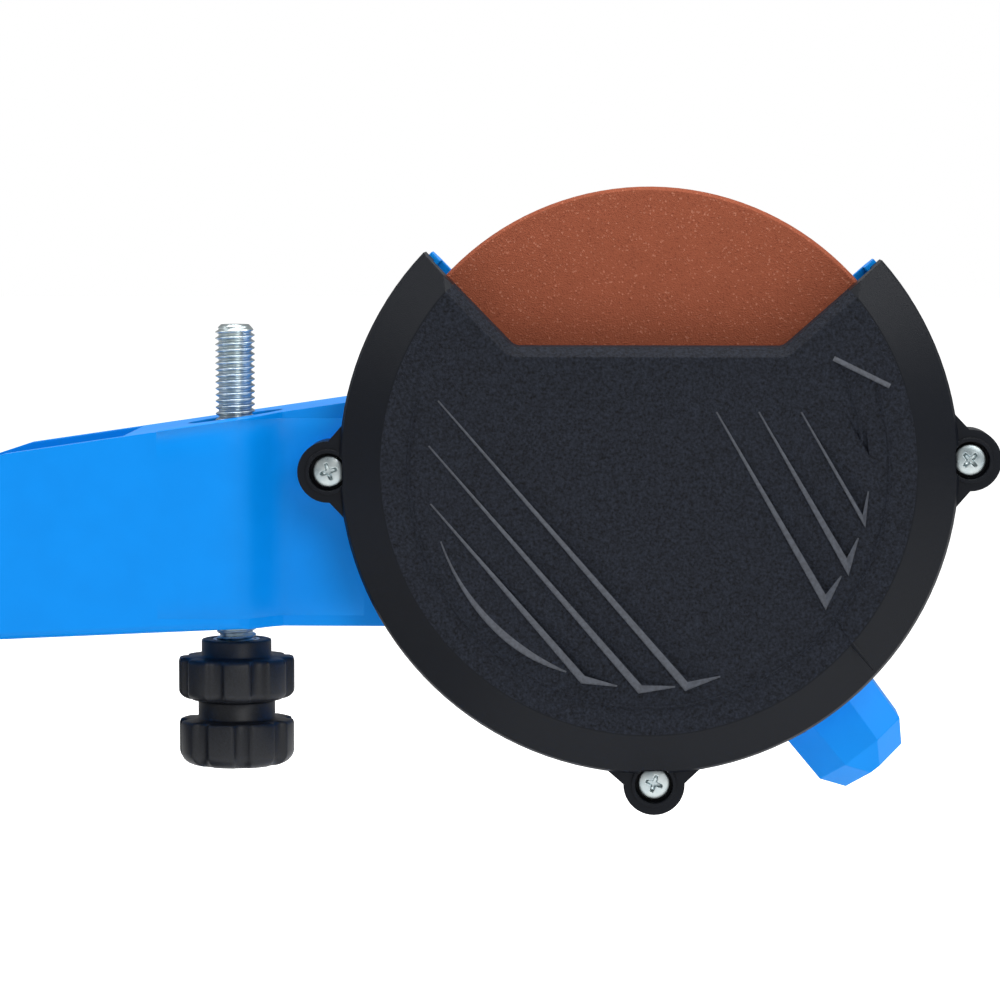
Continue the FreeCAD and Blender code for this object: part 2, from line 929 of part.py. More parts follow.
def arm_cuts():
    hollow_left = hinge_dx + knuckle_r + 8
    inner = arm_half - arm_wall
    floor_l = -arm_low_far + arm_wall + 0.5
    pocket = block(hollow_left, -pocket_right, -inner, inner, floor_l, 40)
    slot = prism_z([(-slot_half + slot_r, -slot_r), (slot_half - slot_r, -slot_r),
                    (slot_half - slot_r, slot_r), (-slot_half + slot_r, slot_r)], slot_floor, 40)
    ends = [along_z(slot_r, slot_floor, 40, s * (slot_half - slot_r), 0) for s in (-1, 1)]
    recess = slot.fuse(ends)
    nut_room = hexagon(bolt_nut_af + 2 * press_gap, slot_floor - bolt_nut_t, slot_floor + 1)
    hole = along_z(bolt_r + seat_gap, -60, slot_floor)
    at_bolt = joined([recess, nut_room, hole])
    at_bolt.translate(Vector(-bolt_reach, 0, 0))
    bush_hole = along_y(pin_r + run_gap + bush_wall + press_gap, -60, 60, hinge_dx, hinge_dz)
    return [pocket, at_bolt, bush_hole]


def motor_cuts():
    room = along_y(barrel_in, dish_floor + front_wall, barrel_end + 40)
    seat = along_y(bearing_r + press_gap, bearing_y, dish_floor + front_wall + 1)
    hole = along_y(bearing_bore_r + 3.5, dish_floor - 1, bearing_y + 1)
    return [room, hole, seat]


def lug_angles():
    return [45, 135, 225, 315]


def head_housing():
    dish = turned_y([(0, parting_y), (dish_r, parting_y), (dish_r, dish_back - dish_round),
                     (dish_r - dish_round, dish_back), (0, dish_back)])
    barrel = along_y(barrel_r, dish_floor, barrel_end)
    bosses = [boss_block(a, boss_r - 0.6, parting_y, dish_back) for a in boss_angles]
    lugs = [along_y(lug_r, barrel_end - lug_len, barrel_end, *boss_spot(a, lug_reach)) for a in lug_angles()]
    front_handle = handle_form().common(block(0, 200, -60, handle_split, -60, 60)).cut(handle_room())
    body = joined([dish, arm_form(), barrel] + bosses + lugs + [at_handle(front_handle)])
    cavity = along_y(dish_r - dish_wall, parting_y - 1, dish_floor)
    notch = notch_prism(-dish_proud, parting_y - 5, dish_back + 0.01)
    barrel_keep = along_y(barrel_r, parting_y - 10, barrel_end)
    cuts = [cavity, notch.cut(barrel_keep)] + arm_cuts() + motor_cuts()
    body = body.cut(cuts)
    screw_end = boss_y + recess_depth + screw_len
    holes = [along_y(screw_r + press_gap, parting_y - 1, screw_end + 1, *boss_spot(a)) for a in boss_angles]
    holes += [along_y(lug_screw_r + press_gap, barrel_end - lug_len + 1, barrel_end + 1,
                      *boss_spot(a, lug_reach)) for a in lug_angles()]
    handle_holes = [along_y(handle_screw_r + press_gap, 0, 20, d, n) for d, n in handle_screw_places()]
    holes += [at_handle(h) for h in handle_holes]
    seat_ring = along_y(bearing_r + seat_wall, dish_floor, bearing_y + bearing_t)
    seat_ring = seat_ring.cut([along_y(bearing_r + press_gap, bearing_y, 60),
                               along_y(bearing_bore_r + 3.5, -60, 60)])
    return body.cut(holes).fuse(seat_ring).removeSplitter()


def motor_cap():
    end = barrel_end + cap_len
    r, e = barrel_r, cap_round
    outer = turned_y([(0, barrel_end), (r, barrel_end), (r, end - e), (r - e * 0.3, end - e * 0.3),
                      (r - e, end), (0, end)])
    lugs = [along_y(lug_r, barrel_end, barrel_end + lug_len, *boss_spot(a, lug_reach)) for a in lug_angles()]
    room = along_y(barrel_in, barrel_end - 1, end - barrel_wall - 2)
    body = joined([outer] + lugs).cut(room)
    seat = along_y(rear_bearing_r + seat_wall, rear_bearing_y, end - barrel_wall)
    seat_bore = along_y(rear_bearing_r + press_gap, rear_bearing_y - 1, rear_bearing_y + rear_bearing_t)
    body = body.fuse(seat).cut(seat_bore)
    vents = []
    for k in range(vent_count):
        vent = block(vent_in, vent_out, end - 10, end + 1, -vent_w / 2, vent_w / 2)
        vents.append(turned_about_y(vent, 360 * k / vent_count))
    holes = [along_y(lug_screw_r + run_gap, barrel_end - 1, barrel_end + lug_len + 1,
                     *boss_spot(a, lug_reach)) for a in lug_angles()]
    heads = [along_y(lug_screw_head_r + seat_gap, barrel_end + lug_len, end + 1,
                     *boss_spot(a, lug_reach)) for a in lug_angles()]
    gland_hole = along_x(gland_r + run_gap, -barrel_r - 2, -barrel_in + 4, gland_y, 0)
    return body.cut(vents + holes + heads + [gland_hole])


def motor_cap_screws():
    screws = []
    for a in lug_angles():
        x, z = boss_spot(a, lug_reach)
        screws.append(cross_screw(lug_screw_r, lug_screw_head_r, lug_screw_head_h, lug_len + 6,
                                  (x, barrel_end + lug_len, z), 1))
    return group(screws)


def cord_gland():
    start = -barrel_r - run_gap
    neck = along_x(gland_r, start - gland_flange_t, -barrel_in + 1, gland_y, 0)
    flange = along_x(gland_flange_r, start - gland_flange_t, start, gland_y, 0)
    nose = Part.makeCone(gland_bore_r + 1.4, gland_flange_r - 1.5, gland_out,
                         Vector(start - gland_out, gland_y, 0), Vector(1, 0, 0))
    bore = along_x(gland_bore_r, start - gland_out - 1, 0, gland_y, 0)
    return joined([neck, nose, flange]).cut(bore)


# Depth bolt and its knobs

def depth_bolt():
    low = knob_top - knob_neck_h - knob_star_h + knob_floor
    bolt = turned_z([(0, low), (bolt_r, low), (bolt_r, bolt_top - bolt_dome),
                     (bolt_r * 0.72, bolt_top - bolt_dome * 0.3), (bolt_r * 0.3, bolt_top), (0, bolt_top)])
    bolt.translate(Vector(-bolt_reach, 0, 0))
    return bolt


def thread_insert():
    nut = hexagon(bolt_nut_af, slot_floor - bolt_nut_t, slot_floor)
    nut = nut.cut(along_z(bolt_r + run_gap, -60, 60))
    nut.translate(Vector(-bolt_reach, 0, 0))
    return nut


def lock_nut_core():
    low = lock_top - lock_collar_h - lock_star_h
    core = along_z(lock_core_r - 1.5, low, lock_top).cut(along_z(bolt_r + run_gap, low - 1, lock_top + 1))
    core.translate(Vector(-bolt_reach, 0, 0))
    return core


def lock_nut():
    low = lock_top - lock_collar_h - lock_star_h
    collar = along_z(lock_collar_r, lock_top - lock_collar_h, lock_top)
    ring = star(lock_star_r, low, lock_top - lock_collar_h, star_bevel)
    nut = joined([collar, ring]).cut(along_z(lock_core_r - 1.5 + run_gap, low - 1, lock_top + 1))
    nut.translate(Vector(-bolt_reach, 0, 0))
    return nut


def depth_knob():
    neck_low = knob_top - knob_neck_h
    low = neck_low - knob_star_h
    neck = along_z(knob_neck_r, neck_low - 0.5, knob_top)
    ring = star(knob_star_r, low, neck_low, star_bevel * 1.3)
    knob = joined([neck, ring]).cut(along_z(bolt_r + run_gap, low + knob_floor - seat_gap, knob_top + 1))
    knob.translate(Vector(-bolt_reach, 0, 0))
    return knob


# Hinge

def hinge_pin():
    half = knuckle_half + seat_gap + cheek_t + clip_t + clip_inset + seat_gap
    return along_y(pin_r, -half, half, hinge_x, hinge_z)


def hinge_clips():
    out = knuckle_half + seat_gap + cheek_t + seat_gap
    clips = []
    for y0 in (out, -out - clip_t):
        ring = along_y(clip_r, y0, y0 + clip_t, hinge_x, hinge_z)
        ring = ring.cut(along_y(pin_r + press_gap, y0 - 1, y0 + clip_t + 1, hinge_x, hinge_z))
        mouth = block(hinge_x - 2.5, hinge_x + 2.5, y0 - 1, y0 + clip_t + 1, hinge_z, hinge_z + 20)
        clips.append(ring.cut(mouth))
    return group(clips)


def hinge_bushes():
    bushes = []
    for y0 in (knuckle_half - bush_len, -knuckle_half):
        ring = along_y(pin_r + run_gap + bush_wall, y0, y0 + bush_len, hinge_dx, hinge_dz)
        bushes.append(ring.cut(along_y(pin_r + run_gap, y0 - 1, y0 + bush_len + 1, hinge_dx, hinge_dz)))
    return group(bushes)


# Base casting

def tangent_spot(point, centre, r, side):
    """Where the line from point touches the circle, on its upper (side 1) or lower (-1) half."""
    dx, dy = point[0] - centre[0], point[1] - centre[1]
    d = math.hypot(dx, dy)
    a = math.atan2(dy, dx) + side * math.acos(r / d)
    return centre[0] + r * math.cos(a), centre[1] + r * math.sin(a)


def nose_prism(inset, z0, z1):
    r = nose_r - inset
    centre = (vice_x, wheel_plane)
    root = -plate_half_x + nose_overlap - inset / 2
    corners = [(root, side * (plate_half_y - inset)) for side in (1, -1)]
    upper = tangent_spot(corners[0], centre, r, 1)
    lower = tangent_spot(corners[1], centre, r, -1)
    wedge = prism_z([corners[0], upper, centre, lower, corners[1]], z0, z1)
    return joined([along_z(r, z0, z1, *centre), wedge])


def foot_plate():
    x, y, c = plate_half_x, plate_half_y, plate_corner
    slab = block(-x, x, -y, y, 0, foot_t)
    uprights = [e for e in slab.Edges if e.BoundBox.ZLength > foot_t - 0.1]
    slab = slab.makeFillet(c, uprights)
    top = [e for e in slab.Edges if e.BoundBox.ZMin > foot_t - 0.01]
    return slab.makeChamfer(1.5, top)


def cheek(y0):
    """A side plate that flares from the hinge eye down to the foot."""
    top, waist, foot = hinge_z, hinge_z - cheek_waist, foot_t - 1
    w = cheek_waist_half

    def at(x, z):
        return Vector(hinge_x + x, y0, z)

    mid = foot + (waist - foot) * 0.45
    front_bow = at(-w - (cheek_foot_front - w) * 0.3, mid)
    back_bow = at(w + (cheek_foot_back - w) * 0.3, mid)
    edges = [
        Part.makeLine(at(-cheek_r, top), at(-w, waist)),
        Part.Arc(at(-w, waist), front_bow, at(-cheek_foot_front, foot)).toShape(),
        Part.makeLine(at(-cheek_foot_front, foot), at(cheek_foot_back, foot)),
        Part.Arc(at(cheek_foot_back, foot), back_bow, at(w, waist)).toShape(),
        Part.makeLine(at(w, waist), at(cheek_r, top)),
        Part.makeLine(at(cheek_r, top), at(-cheek_r, top)),
    ]
    plate = Part.Face(Part.Wire(edges)).extrude(Vector(0, cheek_t, 0))
    return plate.fuse(along_y(cheek_r, y0, y0 + cheek_t, hinge_x, hinge_z))


def pad_x():
    """The depth bolt's place when the head is turned over onto the vice."""
    return hinge_x - (wheel_reach - bolt_reach)


def pillar():
    """A drafted post under the depth bolt's stop pad."""
    x = pad_x()
    top = pad_top - pad_t
    low_half = pillar_half + pillar_draft

    def ring(half, z):
        points = [Vector(x + i * half, j * half, z) for i, j in ((-1, -1), (1, -1), (1, 1), (-1, 1))]
        return Part.makePolygon(points + [points[0]])

    post = Part.makeLoft([ring(low_half, foot_t - 1), ring(pillar_half, top)], True, True)
    return post.cut(along_z(pad_stem_r + press_gap, top - pad_stem, top + 1, x, 0))


def gusset():
    x = pad_x()
    near, back = x + pillar_half - 2, hinge_x + web_t / 2
    outline = [(near, foot_t - 1), (near, pad_top - pad_t - 12), (hinge_x - 8, hinge_z - web_top - 6),
               (back, hinge_z - web_top - 6), (back, foot_t - 1)]
    return prism_y(outline, -gusset_half, gusset_half)


def rear_lug():
    top = buffer_seat()
    x0, x1 = hinge_x + lug_block_near, hinge_x + lug_block_far
    outline = [(x0, top - 34), (x0 + 4, top - 34), (x1, top - lug_block_h), (x1, top),
               (hinge_x + 15, top), (x0, hinge_z - web_top)]
    arm = prism_y(outline, -lug_block_half, lug_block_half)
    stem_r = buffer_stem_r + press_gap
    return arm.cut(along_z(stem_r, top - buffer_stem - 1, top + 1, hinge_x + buffer_out, 0))


def buffer_seat():
    return wheel_z - arm_low_far - 0.4 - seat_gap - buffer_t


def brow():
    """The riser under the nose's root, and a rib that runs down to it from the pillar."""
    edge = -plate_half_x
    riser = block(edge - riser_front, edge + riser_back, -riser_half, riser_half, foot_t - 1, nose_top)
    x = pad_x()
    outline = [(x, foot_t - 1), (x, nose_top + brow_rise), (vice_x + table_r + 4, nose_top),
               (edge, foot_t - 1)]
    return riser.fuse(prism_y(outline, -gusset_half, gusset_half))


def base_casting():
    inner = knuckle_half + seat_gap
    web = block(hinge_x - web_t / 2, hinge_x + web_t / 2, -inner - 1, inner + 1,
                foot_t - 1, hinge_z - web_top)
    nose = nose_prism(0, 0, nose_top)
    under = nose_prism(nose_wall, -1, nose_top - nose_t)
    mouth = block(vice_x - nose_r - 5, vice_x - 10, wheel_plane - nose_mouth, wheel_plane + nose_mouth,
                  -1, nose_top - nose_t)
    body = joined([foot_plate(), nose.cut([under, mouth]), cheek(inner), cheek(-inner - cheek_t),
                   web, gusset(), pillar(), brow(), rear_lug()])
    x = pad_x()
    holes = [along_z(swivel_r + seat_gap, 0, nose_top + 1, vice_x, wheel_plane),
             along_y(pin_r + press_gap, -60, 60, hinge_x, hinge_z),
             along_z(pad_stem_r + press_gap, pad_top - pad_t - pad_stem, pad_top, x, 0)]
    for sx in (-1, 1):
        for sy in (-1, 1):
            spot = (sx * bench_half_x, sy * bench_half_y)
            holes.append(along_z(bench_hole_r, -1, foot_t + 1, *spot))
            holes.append(along_z(bench_sink_r, foot_t - bench_sink, foot_t + 1, *spot))
    return body.cut(holes)


def stop_pad():
    x = pad_x()
    low = pad_top - pad_t
    disc = turned_z([(0, low), (pad_r, low), (pad_r, pad_top - 1), (pad_r - 1, pad_top), (0, pad_top)])
    stem = along_z(pad_stem_r, low - pad_stem + 0.2, low)
    pad = joined([disc, stem])
    pad.translate(Vector(x, 0, 0))
    return pad


def rest_buffer():
    low = buffer_seat()
    high = low + buffer_t
    disc = turned_z([(0, low), (buffer_r, low), (buffer_r, high - 1), (buffer_r - 1, high), (0, high)])
    stem = along_z(buffer_stem_r, low - buffer_stem, low)
    rubber = joined([disc, stem])
    rubber.translate(Vector(hinge_x + buffer_out, 0, 0))
    return rubber


def angle_scale():
    ring = along_z(scale_out, nose_top, nose_top + scale_t).cut(along_z(scale_in, nose_top - 1, nose_top + 2))
    a = math.radians(scale_half_angle)
    far = 3 * scale_out
    x, y = -far * math.cos(a), far * math.sin(a)
    wedge = prism_z([(0, 0), (x, y), (x, -y)], nose_top - 1, nose_top + 2)
    return ring.common(wedge)


# Vice, drawn about its swivel axis: x across the jaws, y along them

def vice_table():
    disc = turned_z([(0, table_z), (table_r, table_z), (table_r, rail_z - 1), (table_r - 1, rail_z),
                     (0, rail_z)])
    low = nose_top + scale_t + seat_gap
    root, half = -table_r + 3, pointer_half + 1
    pointer = prism_z([(root, half), (-table_r - pointer_len, 0), (root, -half)], low, rail_z - 1.5)
    body = joined([disc, pointer])
    cuts = [along_z(swivel_r + press_gap, table_z - 1, rail_z + 1),
            along_z(swivel_head_r + press_gap, rail_z - swivel_head_h, rail_z + 1)]
    for s in (-1, 1):
        cuts.append(along_z(rail_screw_r, table_z - 1, rail_z + 1, rail_screw_u, s * rail_screw_v))
    return body.cut(cuts)


def swivel_low():
    return nose_top - nose_t - seat_gap - swivel_washer_t - swivel_knob_h


def swivel_bolt():
    low = swivel_low() + 1.0
    shank = along_z(swivel_r, low, rail_z - swivel_head_h)
    head = along_z(swivel_head_r, rail_z - swivel_head_h, rail_z)
    return joined([shank, head])


def swivel_washer():
    top = nose_top - nose_t - seat_gap
    low = top - swivel_washer_t
    return along_z(swivel_washer_r, low, top).cut(along_z(swivel_r + run_gap, low - 1, top + 1))


def swivel_lock_knob():
    low = swivel_low()
    top = low + swivel_knob_h
    knob = star(swivel_knob_r, low, top, star_bevel)
    return knob.cut(along_z(swivel_r + run_gap, low + 1.0 - seat_gap, top + 1))


def rail_web(u0, u1, z0, outside):
    """A jaw with its outer top edge cut back, so that the chain's cutters clear it."""
    edge = rail_bevel
    if outside > 0:
        outline = [(u0, z0), (u1, z0), (u1, rail_top - edge), (u1 - edge, rail_top), (u0, rail_top)]
    else:
        outline = [(u0, z0), (u1, z0), (u1, rail_top), (u0 + edge, rail_top), (u0, rail_top - edge)]
    return prism_y(outline, -rail_half, rail_half)


def rail_holes(stud_clear, guide_clear):
    holes = [along_x(stud_r + stud_clear, -40, 40, 0, guide_z)]
    holes += [along_x(guide_r + guide_clear, -40, 40, s * guide_v, guide_z) for s in (-1, 1)]
    return holes


def fixed_rail():
    inner = jaw_gap / 2
    outer = inner + rail_t
    web = rail_web(inner, outer, rail_z, 1)
    foot = block(outer, outer + rail_foot, -rail_half, rail_half, rail_z, rail_z + rail_foot_t)
    body = joined([web, foot])
    screws = [along_z(rail_screw_r + run_gap, rail_z - 1, rail_z + 9, rail_screw_u, s * rail_screw_v)
              for s in (-1, 1)]
    return body.cut(rail_holes(press_gap, press_gap) + screws)


def moving_rail():
    inner = jaw_gap / 2
    web = rail_web(-inner - rail_t, -inner, rail_z + seat_gap, -1)
    return web.cut(rail_holes(seat_gap, run_gap))


def rail_screws():
    screws = []
    seat = rail_z + rail_foot_t
    for s in (-1, 1):
        head = turned_z([(0, seat), (rail_screw_head_r, seat), (rail_screw_head_r, seat + rail_screw_head_h),
                         (0, seat + rail_screw_head_h)])
        socket = hexagon(3.0, seat + 1.0, seat + rail_screw_head_h + 1)
        shank = along_z(rail_screw_r - press_gap, table_z + 1, seat)
        screw = joined([head, shank]).cut(socket)
        screw.translate(Vector(rail_screw_u, s * rail_screw_v, 0))
        screws.append(screw)
    return group(screws)


def guide_pins():
    outer = jaw_gap / 2 + rail_t
    return group([along_x(guide_r, -outer - guide_out, outer, s * guide_v, guide_z) for s in (-1, 1)])


def clamp_stud():
    inner = jaw_gap / 2
    back = inner + rail_t
    shank = along_x(stud_r, -inner - rail_t, back, 0, guide_z)
    head = along_x(stud_head_r, back, back + stud_head_h, 0, guide_z)
    low, high = guide_z - eye_t / 2, guide_z + eye_t / 2
    tongue = block(-cam_pin, -inner - rail_t, -tongue_half, tongue_half, low, high)
    eye = along_z(eye_r, low, high, -cam_pin, 0)
    stud = joined([shank, head, tongue, eye])
    return stud.cut(along_z(lever_pin_r + press_gap, guide_z - 9, guide_z + 9, -cam_pin, 0))


def clamp_lever():
    """An eccentric on the pin, with a slot for the stud's eye and an arm along the jaws."""
    phase = math.radians(cam_phase)
    cam_r = cam_pin - jaw_gap / 2 - rail_t - seat_gap - cam_offset * math.cos(phase)
    low, high = guide_z - cam_half, guide_z + cam_half
    arm_low, arm_high = guide_z - lever_t / 2, guide_z + lever_t / 2
    cam = along_z(cam_r, low, high, -cam_pin + cam_offset * math.cos(phase), -cam_offset * math.sin(phase))
    w = lever_w / 2
    tip = w * 0.8
    tip_v = -lever_len + w
    arm = prism_z([(-cam_pin - w, 0), (-cam_pin - tip, tip_v), (-cam_pin + tip, tip_v), (-cam_pin + w, 0)],
                  arm_low, arm_high)
    end = along_z(tip, arm_low, arm_high, -cam_pin, tip_v)
    body = joined([cam, arm, end])
    half = eye_t / 2 + seat_gap
    opening = along_z(lever_open_r, guide_z - half, guide_z + half, -cam_pin, 0)
    return body.cut([opening, along_z(lever_pin_r + run_gap, 0, 90, -cam_pin, 0)])


def lever_pin():
    low, high = guide_z - cam_half, guide_z + cam_half
    return along_z(lever_pin_r, low, high, -cam_pin, 0)


def stop_bracket():
    low = rail_z + rail_foot_t
    base = block(stop_u - stop_half + 0.6, stop_u + stop_half, stop_v, stop_v + stop_len, low, stop_z)
    eye = along_y(stop_half, stop_v, stop_v + stop_len, stop_u, stop_z)
    body = joined([base, eye])
    return body.cut(along_y(stop_screw_r + run_gap, 0, 90, stop_u, stop_z))


def stop_screw():
    rod = along_y(stop_screw_r, stop_screw_front, stop_screw_back, stop_u, stop_z)
    back = pawl_v + pawl_t + seat_gap
    collar = along_y(collar_r, back, back + collar_t, stop_u, stop_z)
    return joined([rod, collar])


def stop_pawl():
    """A finger that reaches over the fixed jaw and drops behind a cutter."""
    y0, y1 = pawl_v, pawl_v + pawl_t
    eye = along_y(pawl_eye_r, y0, y1, stop_u, stop_z)
    finger = [(stop_u, stop_z + pawl_eye_r), (stop_u - 6, stop_z + 4), (-pawl_tip, stop_z + 1),
              (-pawl_tip, rail_top + 1.2), (0.6, rail_top + 1.2), (4, stop_z - pawl_drop + 1.5),
              (stop_u, stop_z - pawl_drop)]
    body = joined([eye, prism_y(finger, y0, y1)])
    return body.cut(along_y(stop_screw_r + run_gap, 0, 90, stop_u, stop_z))


def stop_knob():
    knob = star(stop_knob_r, stop_knob_v, stop_knob_v + stop_knob_h, 1.2, 1.6, 10)
    knob = to_y(knob)
    knob.translate(Vector(stop_u, 0, stop_z))
    return knob.cut(along_y(stop_screw_r + run_gap, 0, 90, stop_u, stop_z))


def build_head():
    write_head(grinding_wheel(), "grinding_wheel")
    write_head(inner_flange(), "inner_flange")
    write_head(outer_flange(), "outer_flange")
    write_head(wheel_nut(), "wheel_nut")
    write_head(rotor_shaft(), "rotor_shaft")
    write_head(fan(), "cooling_fan")
    write_head(armature(), "armature_stack")
    write_head(armature_coils(), "armature_coils")
    write_head(commutator(), "commutator")
    write_head(ball_bearing(bearing_r, bearing_bore_r, bearing_y, bearing_t), "front_bearing")
    rear = ball_bearing(rear_bearing_r, rear_bearing_bore_r, rear_bearing_y, rear_bearing_t)
    write_head(rear, "rear_bearing")
    write_head(stator(), "stator")
    write_head(field_coils(), "field_coils")
    write_head(brush_plate(), "brush_plate")
    write_head(brush_holders(), "brush_holders")
    write_head(carbon_brushes(), "carbon_brushes")
    write_head(head_housing(), "head_housing")
    write_head(wheel_cover(), "wheel_cover")
    write_head(cover_screws(), "cover_screws")
    write_head(motor_cap(), "motor_cap")
    write_head(motor_cap_screws(), "motor_cap_screws")
    write_head(cord_gland(), "cord_gland")
    write_head(handle_cover(), "handle_cover")
    write_head(handle_screws(), "handle_screws")
    write_head(trigger(), "trigger")
    write_head(switch_body(), "switch_body")
    write_head(hinge_bushes(), "hinge_bushes")
    write_head(thread_insert(), "thread_insert")
    write_head(depth_bolt(), "depth_bolt")
    write_head(depth_knob(), "depth_knob")
    write_head(lock_nut_core(), "lock_nut_core")
    write_head(lock_nut(), "lock_nut")


def build_base():
    write(base_casting(), "base_casting")
    write(hinge_pin(), "hinge_pin")
    write(hinge_clips(), "hinge_clips")
    write(stop_pad(), "stop_pad")
    write(rest_buffer(), "rest_buffer")
    write_vice(angle_scale(), "angle_scale")


def build_vice():
    write_vice(vice_table(), "vice_table")
    write_vice(swivel_bolt(), "swivel_bolt")
    write_vice(swivel_washer(), "swivel_washer")
    write_vice(swivel_lock_knob(), "swivel_lock_knob")
    write_vice(fixed_rail(), "fixed_rail")
    write_vice(moving_rail(), "moving_rail")
    write_vice(rail_screws(), "rail_screws")
    write_vice(guide_pins(), "guide_pins")
    write_vice(clamp_stud(), "clamp_stud")
    write_vice(clamp_lever(), "clamp_lever")
    write_vice(lever_pin(), "lever_pin")
    write_vice(stop_bracket(), "stop_bracket")
    write_vice(stop_screw(), "stop_screw")
    write_vice(stop_pawl(), "stop_pawl")
    write_vice(stop_knob(), "stop_knob")


build_head()
build_base()
build_vice()
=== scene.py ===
import json
import math

import bmesh
import bpy
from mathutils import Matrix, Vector


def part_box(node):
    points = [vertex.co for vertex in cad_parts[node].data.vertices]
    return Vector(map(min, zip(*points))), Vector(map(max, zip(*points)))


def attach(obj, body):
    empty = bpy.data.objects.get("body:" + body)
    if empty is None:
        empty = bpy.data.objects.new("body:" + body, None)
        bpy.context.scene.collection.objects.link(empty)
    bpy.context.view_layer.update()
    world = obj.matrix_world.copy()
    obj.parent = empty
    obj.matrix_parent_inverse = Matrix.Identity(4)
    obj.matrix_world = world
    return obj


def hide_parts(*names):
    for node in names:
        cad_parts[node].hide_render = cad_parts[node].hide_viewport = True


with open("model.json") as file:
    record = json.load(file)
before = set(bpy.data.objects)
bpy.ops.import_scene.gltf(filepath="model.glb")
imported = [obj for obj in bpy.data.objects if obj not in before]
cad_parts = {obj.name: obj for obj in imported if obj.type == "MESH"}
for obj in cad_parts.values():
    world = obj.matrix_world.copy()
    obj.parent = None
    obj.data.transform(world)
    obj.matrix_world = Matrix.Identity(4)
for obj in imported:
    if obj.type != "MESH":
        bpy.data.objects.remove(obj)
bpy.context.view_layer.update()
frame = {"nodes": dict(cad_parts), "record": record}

wheelCentre = (0.180, -0.015, 0.150)
mm = 0.001


def hexColor(text):
    channels = [int(text[i:i + 2], 16) / 255 for i in (1, 3, 5)]
    linear = [c / 12.92 if c <= 0.04045 else ((c + 0.055) / 1.055) ** 2.4 for c in channels]
    return (*linear, 1.0)


def addNode(mat, kind, inputs=None, **settings):
    node = mat.node_tree.nodes.new(kind)
    for name, value in settings.items():
        setattr(node, name, value)
    for key, value in (inputs or {}).items():
        if isinstance(value, bpy.types.NodeSocket):
            mat.node_tree.links.new(value, node.inputs[key])
        else:
            node.inputs[key].default_value = value
    return node


def startFinish(name, look):
    mat = bpy.data.materials.new(name)
    mat.use_nodes = True
    shader = mat.node_tree.nodes["Principled BSDF"]
    shader.inputs["Base Color"].default_value = hexColor(look["color"])
    shader.inputs["Roughness"].default_value = look["roughness"]
    shader.inputs["Metallic"].default_value = look.get("metallic", 0.0)
    shader.inputs["Specular IOR Level"].default_value = look.get("specular", 0.5)
    coords = addNode(mat, "ShaderNodeTexCoord").outputs["Object"]
    return mat, shader, coords


def blendColors(mat, amount, first, second, low=0.35, high=0.65):
    ramp = addNode(mat, "ShaderNodeValToRGB", {"Fac": amount})
    ramp.color_ramp.elements[0].position = low
    ramp.color_ramp.elements[0].color = hexColor(first)
    ramp.color_ramp.elements[1].position = high
    ramp.color_ramp.elements[1].color = hexColor(second)
    return ramp


def setRelief(mat, shader, height, depth, edge):
    # every moulded, cast or cut edge is slightly round, which catches the light
    edgeNormal = addNode(mat, "ShaderNodeBevel", {"Radius": edge * mm}, samples=4)
    bump = addNode(mat, "ShaderNodeBump", {
        "Height": height, "Strength": 1.0, "Distance": depth * mm,
        "Normal": edgeNormal.outputs["Normal"]})
    mat.node_tree.links.new(bump.outputs["Normal"], shader.inputs["Normal"])
    return edgeNormal


def setRoughness(mat, shader, amount, low, high):
    span = addNode(mat, "ShaderNodeMapRange", {"Value": amount, "To Min": low, "To Max": high})
    mat.node_tree.links.new(span.outputs["Result"], shader.inputs["Roughness"])


# moulded ABS: a smooth, slightly glossy skin with a faint ripple from the mould
blueAbs = {"color": "#0089E6", "dark": "#0086E2", "roughness": 0.36, "specular": 0.14,
           "rippleMm": 9.0, "grainMm": 0.5, "edgeMm": 0.45, "stepRoundMm": 9.0}
# where the arm's front face steps back to its root: middle and half length, in metres
armStep = {"middleX": 0.104, "halfX": 0.020, "middleZ": 0.139, "halfZ": 0.0195, "frontY": -0.010}


